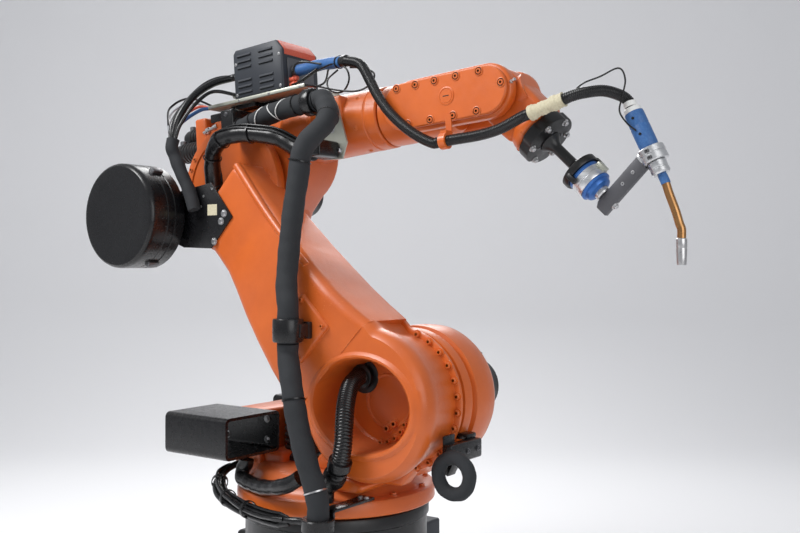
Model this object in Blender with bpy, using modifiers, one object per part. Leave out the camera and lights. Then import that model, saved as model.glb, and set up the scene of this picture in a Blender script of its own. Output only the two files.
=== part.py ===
"""Industrial robot arm dressed for arc welding, in the pose of a parked robot.

Six axes carry the pieces: axis 1 turns the column on the base, axis 2 leans the link arm, axis 3
lifts the arm, axis 4 rolls the wrist, axis 5 bends the hand and axis 6 turns the tool flange.
The origin is on axis 1 at floor level, +X is forward and +Z is up. Metres throughout.
"""
import math

import bmesh
import bpy
from mathutils import Matrix, Vector

# Arm geometry: the distances between the axes and the angles of the pose
SHOULDER_FORWARD = 0.28
SHOULDER_HEIGHT = 0.815
LINK_LENGTH = 0.85
LINK_LEAN = math.radians(46.4)
ARM_OFFSET = 0.145
ARM_LENGTH = 0.90
ARM_RISE = math.radians(4.1)
HAND_DROP = math.radians(44.0)

# Clearances
SEAT_GAP = 0.0003
PIN_GAP = 0.0008
SWING_GAP = 0.006
SEAM_GAP = 0.003

# Base
BASE_RADIUS = 0.268
BASE_HEIGHT = 0.501
FOOT_SIZE = 0.60
FOOT_THICKNESS = 0.045
FOOT_PAD_LENGTH = 0.14
SLEWING_RADIUS = 0.20
SLEWING_RISE = 0.030

# Column
FLANGE_RADIUS = 0.285
FLANGE_THICKNESS = 0.045
COLUMN_NECK_RADIUS = 0.235
COLUMN_NECK_HEIGHT = 0.050
DRUM_RADIUS = 0.19
DRUM_NEAR_Y = -0.058
DRUM_FAR_Y = 0.125
GEAR_RADIUS = 0.12
GEAR_DEPTH = 0.035
REAR_BLOCK_HALF_WIDTH = 0.1157
REAR_BLOCK_FRONT = -0.19
REAR_BLOCK_REAR = -0.30
REAR_BLOCK_TOP = 0.75

# Fork pockets
POCKET_LENGTH = 0.244
POCKET_WIDTH = 0.214
POCKET_HEIGHT = 0.116
POCKET_WALL = 0.008
POCKET_CENTRE_X = -0.238
POCKET_BOTTOM = 0.64

# Link arm
LINK_FAR_Y = -0.065
LINK_FLANGE_RADIUS = 0.197
LINK_FLANGE_THICKNESS = 0.035
HUB_NEAR_Y = -0.25
HUB_NEAR_RADIUS = 0.158
HUB_WAIST_RADIUS = 0.176
RECESS_FLOOR_Y = -0.118
RECESS_HALF_LENGTH = 0.157
RECESS_HALF_HEIGHT = 0.123
BEAM_TOP_NEAR_Y = -0.20
BEAM_END_DROP = 0.045
HUB_PLATE_THICKNESS = 0.012

# Wire spool on the link arm
SPOOL_RADIUS = 0.155
SPOOL_X = -0.552
SPOOL_Z = 1.319
SPOOL_NEAR_Y = -0.346
SPOOL_FAR_Y = -0.219
PLATE_THICKNESS = 0.006

# Arm
ARM_NEAR_Y = -0.055
ARM_FAR_Y = 0.09
BRACKET_SEAT_Y = -0.0945
ARM_HUB_RADIUS = 0.20
BARREL_RADIUS = 0.091
BARREL_START = 0.215
SEAM_X = -0.35
WRIST_TUBE_RADIUS = 0.083

# Wrist and hand, measured from the wrist centre
CHEEK_NEAR_Y = 0.0835
SLOT_HALF_WIDTH = 0.0497
SLOT_BACK = -0.135
CHEEK_RADIUS = 0.070
COVER_HALF_HEIGHT = 0.062
COVER_THICKNESS = 0.012
COVER_BACK = -0.315
PIVOT_RADIUS = 0.030
HAND_HALF_WIDTH = 0.0447
HAND_RADIUS = 0.066
NOSE_START = 0.125
NOSE_RADIUS = 0.070
NOSE_END = 0.150

# Tool, measured along axis 6 from the wrist centre
TOOL_FLANGE_RADIUS = 0.073
TOOL_FLANGE_END = 0.185
ROD_RADIUS = 0.016
ROD_END = 0.310
YOKE_THICKNESS = 0.020
YOKE_RADIUS = 0.047
SENSOR_RADIUS = 0.0425
SENSOR_END = 0.352
BAND_END = 0.375
NUT_END = 0.3877
BAR_WIDTH = 0.038
BAR_THICKNESS = 0.018
BAR_LOW = -0.033
BAR_HIGH = 0.118
TORCH_TILT = math.radians(21.2)
TORCH_X = 0.2963
TORCH_Z = 0.1931
TORCH_BODY_LENGTH = 0.108
TORCH_BODY_RADIUS = 0.0235
CLAMP_LENGTH = 0.036
CLAMP_RADIUS = 0.033
COLLAR_STEM = 0.016
COLLAR_RADIUS = 0.0225
COLLAR_END = 0.068
NECK_RADIUS = 0.0105
NECK_END_X = 0.5974
NECK_END_Z = 0.0545
NOZZLE_RADIUS = 0.0127
NOZZLE_LENGTH = 0.062

# Wire feeder on the arm
RAIL_BACK = -0.075
RAIL_FRONT = 0.317
RAIL_THICKNESS = 0.012
RAIL_BOTTOM = 0.256
FEEDER_LENGTH = 0.20
FEEDER_WIDTH = 0.16
FEEDER_HEIGHT = 0.155
FEEDER_FRONT = 0.222

# Hoses
SLEEVE_RADIUS = 0.029
CLIP_CENTRE = (0.095, -0.315, 1.004)
CLIP_SEAT_Y = -0.27
RING_X = 0.384
RING_Y = -0.153
RING_Z = 0.194
CLAMP_X = 0.225
CLAMP_Y = -0.348
FRONT_CLAMP_X = 0.465
LOOP_RADIUS = 0.045
LOOP_TUBE = 0.0175
ELBOW_HOSE_RADIUS = 0.0245
CURL_RADIUS = 0.0215
WRAP_RADIUS = 0.020
CABLE_RADIUS = 0.011
OUTLET_RADIUS = 0.017
TAPE_RADIUS = 0.019
TAPE_START = Vector((0.1480, -0.108, 0.0406))
TAPE_END = Vector((0.1947, -0.108, 0.1213))
SADDLE_X = -0.108
SADDLE_Y = -0.122
SADDLE_Z = -0.1165
HUB_HOSE_RADIUS = 0.024
CONDUIT_RADIUS = 0.014
FLANGE_HOSE_RADIUS = 0.011

SIDES = 40
PART = "industrial_robot_arm"

for old in list(bpy.data.objects):
    bpy.data.objects.remove(old, do_unlink=True)

parts = bpy.data.collections.new(PART)
cutters = bpy.data.collections.new("cutters")
bpy.context.scene.collection.children.link(parts)
bpy.context.scene.collection.children.link(cutters)


def make_material(name, colour, roughness, metallic=0.0):
    """A Principled material."""
    material = bpy.data.materials.new(name)
    material.use_nodes = True
    shader = material.node_tree.nodes["Principled BSDF"]
    shader.inputs["Base Color"].default_value = (*colour, 1.0)
    shader.inputs["Roughness"].default_value = roughness
    shader.inputs["Metallic"].default_value = metallic
    return material


ORANGE = make_material("orange_paint", (0.80, 0.20, 0.05), 0.38)
BLACK_PAINT = make_material("black_paint", (0.012, 0.012, 0.014), 0.35)
DARK_GREY = make_material("dark_grey_plastic", (0.05, 0.055, 0.065), 0.55)
RUBBER = make_material("black_rubber", (0.012, 0.012, 0.013), 0.5)
FOAM = make_material("foam_sleeve", (0.03, 0.032, 0.036), 0.85)
STEEL = make_material("bright_steel", (0.62, 0.62, 0.62), 0.3, 1.0)
ALUMINIUM = make_material("aluminium", (0.72, 0.73, 0.74), 0.35, 1.0)
GREY_METAL = make_material("grey_bar", (0.19, 0.19, 0.20), 0.5, 0.6)
BLUE = make_material("blue_anodised", (0.05, 0.17, 0.50), 0.4, 0.1)
BRONZE = make_material("bronze_neck", (0.42, 0.22, 0.08), 0.3, 1.0)
PALE = make_material("pale_zinc", (0.62, 0.62, 0.50), 0.45, 0.6)
CREAM = make_material("cream_tape", (0.75, 0.71, 0.55), 0.8)


def pivot(name, origin, turn=0.0):
    """An empty on a joint's axis, turned about Y."""
    empty = bpy.data.objects.new(name, None)
    empty.location = origin
    empty.rotation_euler = (0.0, turn, 0.0)
    parts.objects.link(empty)
    return empty


def turned_direction(turn, x, z):
    """The world direction of local (x, z) in a frame turned about Y."""
    return Vector((x * math.cos(turn) + z * math.sin(turn), 0.0, -x * math.sin(turn) + z * math.cos(turn)))


SHOULDER = Vector((SHOULDER_FORWARD, 0.0, SHOULDER_HEIGHT))
ELBOW = SHOULDER + turned_direction(-LINK_LEAN, 0.0, LINK_LENGTH)
WRIST = ELBOW + turned_direction(-ARM_RISE, ARM_LENGTH, ARM_OFFSET)

base_pivot = pivot("pivot_base", (0.0, 0.0, 0.0))
column_pivot = pivot("pivot_axis1", (0.0, 0.0, 0.0))
link_pivot = pivot("pivot_axis2", SHOULDER, -LINK_LEAN)
arm_pivot = pivot("pivot_axis3", ELBOW, -ARM_RISE)
wrist_pivot = pivot("pivot_axis4", WRIST, -ARM_RISE)
hand_pivot = pivot("pivot_axis5", WRIST, HAND_DROP)
tool_pivot = pivot("pivot_axis6", WRIST, HAND_DROP)


def adopt(obj, name, material, parent):
    """Name an object, give it its material and hang it on its body's pivot."""
    obj.name = name
    obj.data.name = name
    obj.data.materials.clear()
    obj.data.materials.append(material)
    obj.parent = parent
    for holder in list(obj.users_collection):
        holder.objects.unlink(obj)
    parts.objects.link(obj)
    return obj


def as_tool(obj, host):
    """Put an object among the cutters, in its host's frame."""
    obj.hide_render = True
    obj.display_type = "WIRE"
    obj.parent = host.parent
    for holder in list(obj.users_collection):
        holder.objects.unlink(obj)
    cutters.objects.link(obj)


def combine(host, other, operation):
    """Join or cut the host with another object of the same frame."""
    as_tool(other, host)
    modifier = host.modifiers.new(operation.lower(), "BOOLEAN")
    modifier.operation = operation
    modifier.solver = "EXACT"
    modifier.object = other


def join(host, *others):
    """Fuse the others into the host."""
    for other in others:
        combine(host, other, "UNION")


def cut(host, *others):
    """Cut the others out of the host."""
    for other in others:
        combine(host, other, "DIFFERENCE")


def round_edges(obj, width, segments=2, angle=35.0):
    """Bevel the sharp edges of an object."""
    modifier = obj.modifiers.new("rounded", "BEVEL")
    modifier.width = width
    modifier.segments = segments
    modifier.limit_method = "ANGLE"
    modifier.angle_limit = math.radians(angle)
    modifier.harden_normals = False


def box(low, high):
    """A box between two corners."""
    low = Vector(low)
    high = Vector(high)
    bpy.ops.mesh.primitive_cube_add(size=1.0)
    obj = bpy.context.object
    obj.data.transform(Matrix.Translation((low + high) / 2.0) @ Matrix.Diagonal((*(high - low), 1.0)))
    return obj


def place_in(obj, parent):
    """Move a mesh drawn in world coordinates into its parent's frame."""
    obj.data.transform(parent.matrix_basis.inverted())


def rod(start, end, radius, end_radius=None, sides=SIDES):
    """A cylinder or a cone between two points."""
    start = Vector(start)
    end = Vector(end)
    along = end - start
    mesh = bpy.data.meshes.new("rod")
    shape = bmesh.new()
    bmesh.ops.create_cone(shape, cap_ends=True, segments=sides, radius1=radius,
                          radius2=radius if end_radius is None else end_radius, depth=along.length)
    turn = along.to_track_quat("Z", "Y").to_matrix().to_4x4()
    shape.transform(Matrix.Translation((start + end) / 2.0) @ turn)
    shape.to_mesh(mesh)
    shape.free()
    obj = bpy.data.objects.new("rod", mesh)
    parts.objects.link(obj)
    return obj


def turned(profile, origin, axis, steps=SIDES):
    """A turned shape. The profile lists (radius, height along the axis) from top to bottom."""
    mesh = bpy.data.meshes.new("turned")
    points = [(radius, 0.0, height) for radius, height in profile]
    mesh.from_pydata(points, [(i, i + 1) for i in range(len(points) - 1)], [])
    turn = Vector(axis).to_track_quat("Z", "Y").to_matrix().to_4x4()
    obj = bpy.data.objects.new("turned", mesh)
    parts.objects.link(obj)
    screw = obj.modifiers.new("turned", "SCREW")
    screw.steps = steps
    screw.render_steps = steps
    screw.use_merge_vertices = True
    screw.merge_threshold = 0.00005
    evaluated = obj.evaluated_get(bpy.context.evaluated_depsgraph_get())
    solid = bpy.data.meshes.new_from_object(evaluated)
    bpy.data.objects.remove(obj, do_unlink=True)
    solid.transform(Matrix.Translation(Vector(origin)) @ turn)
    result = bpy.data.objects.new("turned", solid)
    parts.objects.link(result)
    return result


def plate(outline, near_y, far_y, holes=()):
    """A flat outline in the XZ plane, between two Y values."""
    curve = bpy.data.curves.new("plate", "CURVE")
    curve.dimensions = "2D"
    curve.fill_mode = "BOTH"
    curve.extrude = abs(far_y - near_y) / 2.0
    for ring in (outline, *holes):
        spline = curve.splines.new("POLY")
        spline.points.add(len(ring) - 1)
        for point, (x, z) in zip(spline.points, ring):
            point.co = (x, z, 0.0, 1.0)
        spline.use_cyclic_u = True
    obj = bpy.data.objects.new("plate", curve)
    parts.objects.link(obj)
    return solid_from_curve(obj, Matrix.Translation((0.0, (near_y + far_y) / 2.0, 0.0))
                            @ Matrix.Rotation(math.radians(90.0), 4, "X"))


def solid_from_curve(obj, matrix):
    """Turn a curve object into a closed mesh."""
    evaluated = obj.evaluated_get(bpy.context.evaluated_depsgraph_get())
    mesh = bpy.data.meshes.new_from_object(evaluated)
    shape = bmesh.new()
    shape.from_mesh(mesh)
    bmesh.ops.remove_doubles(shape, verts=shape.verts, dist=0.00005)
    bmesh.ops.recalc_face_normals(shape, faces=shape.faces)
    shape.transform(matrix)
    shape.to_mesh(mesh)
    shape.free()
    bpy.data.objects.remove(obj, do_unlink=True)
    result = bpy.data.objects.new("solid", mesh)
    parts.objects.link(result)
    return result


def arc(centre, radius, first, last, count):
    """Points on an arc, its angles in degrees."""
    step = (last - first) / (count - 1)
    return [(centre[0] + radius * math.cos(math.radians(first + step * i)),
             centre[1] + radius * math.sin(math.radians(first + step * i))) for i in range(count)]


def stadium(x_back, x_front, radius, count=9):
    """A slot outline along X: two half circles joined by straight sides."""
    return (arc((x_front - radius, 0.0), radius, -90.0, 90.0, count)
            + arc((x_back + radius, 0.0), radius, 90.0, 270.0, count))


def smooth_route(points, spacing):
    """Points at even steps along a smooth curve through the route's own points."""
    knots = [Vector(p) for p in points]
    knots = [2.0 * knots[0] - knots[1], *knots, 2.0 * knots[-1] - knots[-2]]
    fine = []
    for i in range(1, len(knots) - 2):
        a, b, c, d = knots[i - 1:i + 3]
        for k in range(24):
            t = k / 24.0
            fine.append(0.5 * ((2.0 * b) + (c - a) * t + (2.0 * a - 5.0 * b + 4.0 * c - d) * t * t
                               + (3.0 * b - a - 3.0 * c + d) * t * t * t))
    fine.append(knots[-2])
    length = sum((q - p).length for p, q in zip(fine, fine[1:]))
    count = max(3, round(length / spacing))
    route = [fine[0]]
    walked = 0.0
    target = length / count
    for p, q in zip(fine, fine[1:]):
        step = (q - p).length
        while walked + step >= target * len(route) and len(route) < count:
            route.append(p.lerp(q, (target * len(route) - walked) / step))
        walked += step
    return [*route, fine[-1]]


def hose(name, points, radius, material, parent, resolution=2):
    """A plain hose along a smooth route, in world coordinates."""
    curve = bpy.data.curves.new(name, "CURVE")
    curve.dimensions = "3D"
    curve.bevel_depth = radius
    curve.bevel_resolution = resolution
    curve.use_fill_caps = True
    first, second, before, last = (Vector(points[i]) for i in (0, 1, -2, -1))
    route = smooth_route(points, 1.6 * radius)
    route.insert(1, first + (second - first).normalized() * 0.4 * radius)
    route.insert(-1, last + (before - last).normalized() * 0.4 * radius)
    spline = curve.splines.new("POLY")
    spline.points.add(len(route) - 1)
    for point, place in zip(spline.points, route):
        point.co = (*place, 1.0)
    obj = bpy.data.objects.new(name, curve)
    adopt(obj, name, material, parent)
    obj.matrix_parent_inverse = parent.matrix_basis.inverted()
    return obj


def loft(sections):
    """A closed solid through rings of the same number of points."""
    shape = bmesh.new()
    rings = [[shape.verts.new(p) for p in section] for section in sections]
    for low, high in zip(rings, rings[1:]):
        for i in range(len(low)):
            j = (i + 1) % len(low)
            shape.faces.new((low[i], low[j], high[j], high[i]))
    shape.faces.new(rings[0][::-1])
    shape.faces.new(rings[-1])
    bmesh.ops.recalc_face_normals(shape, faces=shape.faces)
    mesh = bpy.data.meshes.new("loft")
    shape.to_mesh(mesh)
    shape.free()
    obj = bpy.data.objects.new("loft", mesh)
    parts.objects.link(obj)
    return obj


def build_base():
    """Base frame with its feet, the slewing ring and the connector box."""
    half = FOOT_SIZE / 2.0
    frame = turned([(0.0, BASE_HEIGHT), (BASE_RADIUS - 0.01, BASE_HEIGHT),
                    (BASE_RADIUS, BASE_HEIGHT - 0.01), (BASE_RADIUS, 0.12),
                    (BASE_RADIUS + 0.02, 0.03), (BASE_RADIUS + 0.02, 0.0), (0.0, 0.0)],
                   (0.0, 0.0, 0.0), (0.0, 0.0, 1.0))
    adopt(frame, "base_frame", BLACK_PAINT, base_pivot)
    for sx in (-1.0, 1.0):
        for sy in (-1.0, 1.0):
            inner = half - FOOT_PAD_LENGTH
            foot = box((min(sx * inner, sx * half), min(sy * inner, sy * half), 0.0),
                       (max(sx * inner, sx * half), max(sy * inner, sy * half), FOOT_THICKNESS))
            join(frame, foot)
    ring = rod((0.0, 0.0, BASE_HEIGHT + SEAT_GAP), (0.0, 0.0, BASE_HEIGHT + SLEWING_RISE), SLEWING_RADIUS)
    adopt(ring, "slewing_ring", STEEL, base_pivot)
    connector = box((-0.07, BASE_RADIUS - 0.06, 0.13), (0.12, BASE_RADIUS + 0.10, 0.38))
    round_edges(connector, 0.006)
    adopt(connector, "connector_box", DARK_GREY, base_pivot)
    cut(connector, rod((0.0, 0.0, 0.0), (0.0, 0.0, BASE_HEIGHT), BASE_RADIUS + 2.0 * SEAT_GAP, sides=96))


def build_column():
    """Rotating column with its shoulder drum, the motors, pockets and clamps."""
    bottom = BASE_HEIGHT + SWING_GAP
    top = bottom + FLANGE_THICKNESS
    neck = top + COLUMN_NECK_HEIGHT
    column = turned([(0.0, neck), (COLUMN_NECK_RADIUS - 0.015, neck), (COLUMN_NECK_RADIUS, neck - 0.015),
                     (COLUMN_NECK_RADIUS + 0.01, top), (FLANGE_RADIUS - 0.008, top),
                     (FLANGE_RADIUS, top - 0.008), (FLANGE_RADIUS, bottom), (0.0, bottom)],
                    (0.0, 0.0, 0.0), (0.0, 0.0, 1.0), steps=56)
    adopt(column, "rotating_column", ORANGE, column_pivot)
    drum = rod((SHOULDER_FORWARD, DRUM_NEAR_Y, SHOULDER_HEIGHT),
               (SHOULDER_FORWARD, DRUM_FAR_Y, SHOULDER_HEIGHT), DRUM_RADIUS, sides=48)
    round_edges(drum, 0.012)
    web = plate([(-0.03, neck - 0.02), (0.255, neck - 0.02), (0.30, neck + 0.02), (0.40, 0.70),
                 (0.28, 0.75), (0.115, 0.74), (0.06, 0.66)], DRUM_NEAR_Y + 0.004, DRUM_FAR_Y - 0.01)
    rear = box((REAR_BLOCK_REAR, -REAR_BLOCK_HALF_WIDTH, top - 0.01),
               (REAR_BLOCK_FRONT, REAR_BLOCK_HALF_WIDTH, REAR_BLOCK_TOP))
    pad = plate([(0.0, neck - 0.03), (0.23, neck - 0.03), (0.25, neck - 0.005), (0.20, neck + 0.012),
                 (0.03, neck + 0.012)], -0.19, DRUM_NEAR_Y + 0.02)
    round_edges(pad, 0.006)
    boss = box((0.415, DRUM_NEAR_Y + 0.004, 0.678), (FRONT_CLAMP_X - SEAT_GAP, -0.004, 0.722))
    join(column, drum, web, rear, pad, boss)
    cut(column,
        rod((0.0, 0.0, bottom - 0.02), (0.0, 0.0, BASE_HEIGHT + SLEWING_RISE + PIN_GAP),
            SLEWING_RADIUS + PIN_GAP),
        rod((SHOULDER_FORWARD, DRUM_NEAR_Y - 0.02, SHOULDER_HEIGHT),
            (SHOULDER_FORWARD, LINK_FAR_Y + GEAR_DEPTH + PIN_GAP, SHOULDER_HEIGHT), GEAR_RADIUS + PIN_GAP))

    shoulder_motor = rod((SHOULDER_FORWARD, DRUM_FAR_Y + SEAT_GAP, SHOULDER_HEIGHT),
                         (SHOULDER_FORWARD, DRUM_FAR_Y + 0.20, SHOULDER_HEIGHT), 0.088, sides=24)
    adopt(shoulder_motor, "shoulder_motor", BLACK_PAINT, column_pivot)
    column_motor = rod((-0.12, 0.0, neck + SEAT_GAP), (-0.12, 0.0, neck + 0.225), 0.06, sides=24)
    adopt(column_motor, "column_motor", BLACK_PAINT, column_pivot)

    for side, name in ((-1.0, "fork_pocket_near"), (1.0, "fork_pocket_far")):
        inner = side * (REAR_BLOCK_HALF_WIDTH + SEAT_GAP)
        outer = inner + side * POCKET_WIDTH
        low_y, high_y = sorted((inner, outer))
        pocket = box((POCKET_CENTRE_X - POCKET_LENGTH / 2.0, low_y, POCKET_BOTTOM),
                     (POCKET_CENTRE_X + POCKET_LENGTH / 2.0, high_y, POCKET_BOTTOM + POCKET_HEIGHT))
        round_edges(pocket, 0.006)
        adopt(pocket, name, BLACK_PAINT, column_pivot)
        cut(pocket, box((POCKET_CENTRE_X - POCKET_LENGTH, low_y + POCKET_WALL, POCKET_BOTTOM + POCKET_WALL),
                        (POCKET_CENTRE_X + POCKET_LENGTH, high_y - POCKET_WALL,
                         POCKET_BOTTOM + POCKET_HEIGHT - POCKET_WALL)))

    front = box((FRONT_CLAMP_X, -0.157, 0.675), (FRONT_CLAMP_X + 0.03, -0.008, 0.724))
    round_edges(front, 0.004)
    adopt(front, "front_clamp", BLACK_PAINT, column_pivot)
    loop = turned([(LOOP_RADIUS + LOOP_TUBE * math.cos(a), LOOP_TUBE * math.sin(a))
                   for a in (-math.tau * i / 10.0 for i in range(11))], (0.512, -0.1740, 0.655), (0.0, 1.0, 0.0), steps=28)
    adopt(loop, "front_hose_loop", FOAM, column_pivot)

    reach = SLEEVE_RADIUS + 0.013
    clamp = box((CLAMP_X - reach, CLAMP_Y - reach, 0.512), (CLAMP_X + reach, CLAMP_Y + reach, 0.545))
    round_edges(clamp, 0.004)
    adopt(clamp, "sleeve_clamp", BLACK_PAINT, column_pivot)
    join(clamp, box((CLAMP_X - 0.02, CLAMP_Y + reach - 0.008, top + SEAT_GAP), (CLAMP_X + 0.02, -0.142, top + 0.008)),
         box((CLAMP_X - 0.02, CLAMP_Y + reach - 0.008, 0.53), (CLAMP_X + 0.02, CLAMP_Y + reach, top + 0.006)))
    cut(clamp, rod((CLAMP_X, CLAMP_Y, 0.45), (CLAMP_X, CLAMP_Y, 0.60), SLEEVE_RADIUS + SEAT_GAP, sides=32))


def rounded_section(x_back, x_front, near_y, far_y, z, corner):
    """A ring of points at one height: a rectangle with its corners cut."""
    return [(x_back + corner, near_y, z), (x_front - corner, near_y, z),
            (x_front, near_y + corner, z), (x_front, far_y - corner, z),
            (x_front - corner, far_y, z), (x_back + corner, far_y, z),
            (x_back, far_y - corner, z), (x_back, near_y + corner, z)]


def build_link():
    """Link arm between the shoulder and the elbow, with the spool and the hose clip on it."""
    arm = loft([rounded_section(-0.18, 0.17, HUB_NEAR_Y + 0.004, LINK_FAR_Y, 0.02, 0.016),
                rounded_section(-0.17, 0.155, -0.262, LINK_FAR_Y, 0.25, 0.016),
                rounded_section(-0.135, 0.138, -0.245, LINK_FAR_Y, 0.45, 0.016),
                rounded_section(-0.12, 0.135, BEAM_TOP_NEAR_Y, LINK_FAR_Y, 0.62, 0.016),
                rounded_section(-0.12, 0.135, BEAM_TOP_NEAR_Y, LINK_FAR_Y,
                                LINK_LENGTH - BEAM_END_DROP, 0.016)])
    adopt(arm, "link_arm", ORANGE, link_pivot)
    hub = turned([(0.0, -HUB_NEAR_Y), (0.186, -HUB_NEAR_Y), (0.20, -HUB_NEAR_Y - 0.014),
                  (0.20, 0.12), (0.185, -LINK_FAR_Y), (0.0, -LINK_FAR_Y)],
                 (0.0, 0.0, 0.0), (0.0, -1.0, 0.0), steps=48)
    head = rod((0.0, LINK_FAR_Y - LINK_FLANGE_THICKNESS, LINK_LENGTH), (0.0, LINK_FAR_Y, LINK_LENGTH),
               LINK_FLANGE_RADIUS, sides=48)
    round_edges(head, 0.006)
    join(arm, hub, head)
    lean = math.degrees(LINK_LEAN)
    oval = [(RECESS_HALF_LENGTH * math.cos(a), RECESS_HALF_HEIGHT * math.sin(a))
            for a in (math.tau * i / 40.0 for i in range(40))]
    turn = math.radians(lean)
    oval = [(x * math.cos(turn) + z * math.sin(turn), -x * math.sin(turn) + z * math.cos(turn))
            for x, z in oval]
    cut(arm, plate(oval, HUB_NEAR_Y - 0.05, RECESS_FLOOR_Y))

    back = plate([(0.72 * x, 0.72 * z) for x, z in oval], RECESS_FLOOR_Y - HUB_PLATE_THICKNESS,
                 RECESS_FLOOR_Y - SEAT_GAP)
    adopt(back, "hub_back_plate", ORANGE, link_pivot)
    shoulder_gear = rod((0.0, LINK_FAR_Y + SEAT_GAP, 0.0), (0.0, LINK_FAR_Y + GEAR_DEPTH, 0.0), GEAR_RADIUS)
    adopt(shoulder_gear, "shoulder_gear", STEEL, link_pivot)
    elbow_gear = rod((0.0, LINK_FAR_Y + SEAT_GAP, LINK_LENGTH),
                     (0.0, LINK_FAR_Y + GEAR_DEPTH, LINK_LENGTH), GEAR_RADIUS)
    adopt(elbow_gear, "elbow_gear", STEEL, link_pivot)

    spool_x, spool_z = link_point(SPOOL_X, SPOOL_Z)
    outline = [link_point(-0.3047, 1.2215), link_point(-0.2185, 1.3122), link_point(-0.3047, 1.414),
               link_point(-0.411, 1.3985), (spool_x + 0.03, spool_z + 0.045),
               (spool_x - 0.03, spool_z + 0.035), (spool_x - 0.035, spool_z - 0.03),
               link_point(-0.4195, 1.2257)]
    seat = plate(outline, BEAM_TOP_NEAR_Y - PLATE_THICKNESS, BEAM_TOP_NEAR_Y - SEAT_GAP)
    adopt(seat, "spool_plate", BLACK_PAINT, link_pivot)
    plate_y = BEAM_TOP_NEAR_Y - PLATE_THICKNESS - SEAT_GAP
    drum = turned([(0.0, -SPOOL_NEAR_Y), (0.135, -SPOOL_NEAR_Y), (0.15, -SPOOL_NEAR_Y - 0.012),
                   (SPOOL_RADIUS, -SPOOL_NEAR_Y - 0.04), (SPOOL_RADIUS, -SPOOL_FAR_Y),
                   (0.04, -SPOOL_FAR_Y), (0.04, -plate_y), (0.0, -plate_y)],
                  (spool_x, 0.0, spool_z), (0.0, -1.0, 0.0), steps=48)
    adopt(drum, "spool_drum", BLACK_PAINT, link_pivot)

    join(arm, box((-0.06, CLIP_SEAT_Y, 0.205), (0.08, -0.22, 0.325)))
    x, y, z = CLIP_CENTRE
    clip = rod((x, y, z - 0.03), (x, y, z + 0.03), SLEEVE_RADIUS + 0.011, sides=32)
    place_in(clip, link_pivot)
    adopt(clip, "sleeve_clip", BLACK_PAINT, link_pivot)
    foot = box((x - 0.045, y + SLEEVE_RADIUS, z - 0.022), (x + 0.045, CLIP_SEAT_Y - SEAT_GAP, z + 0.022))
    place_in(foot, link_pivot)
    join(clip, foot)
    bore = rod((x, y, z - 0.05), (x, y, z + 0.05), SLEEVE_RADIUS + SEAT_GAP, sides=32)
    place_in(bore, link_pivot)
    cut(clip, bore)


def link_point(x, z):
    """A world point of the pose, in the link arm's frame."""
    offset = Vector((x, 0.0, z)) - SHOULDER
    back = turned_direction(LINK_LEAN, offset.x, offset.z)
    return (back.x, back.z)


def arm_point(x, z):
    """A world point of the pose, in the arm's frame."""
    offset = Vector((x, 0.0, z)) - ELBOW
    back = turned_direction(ARM_RISE, offset.x, offset.z)
    return (back.x, back.z)


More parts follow.
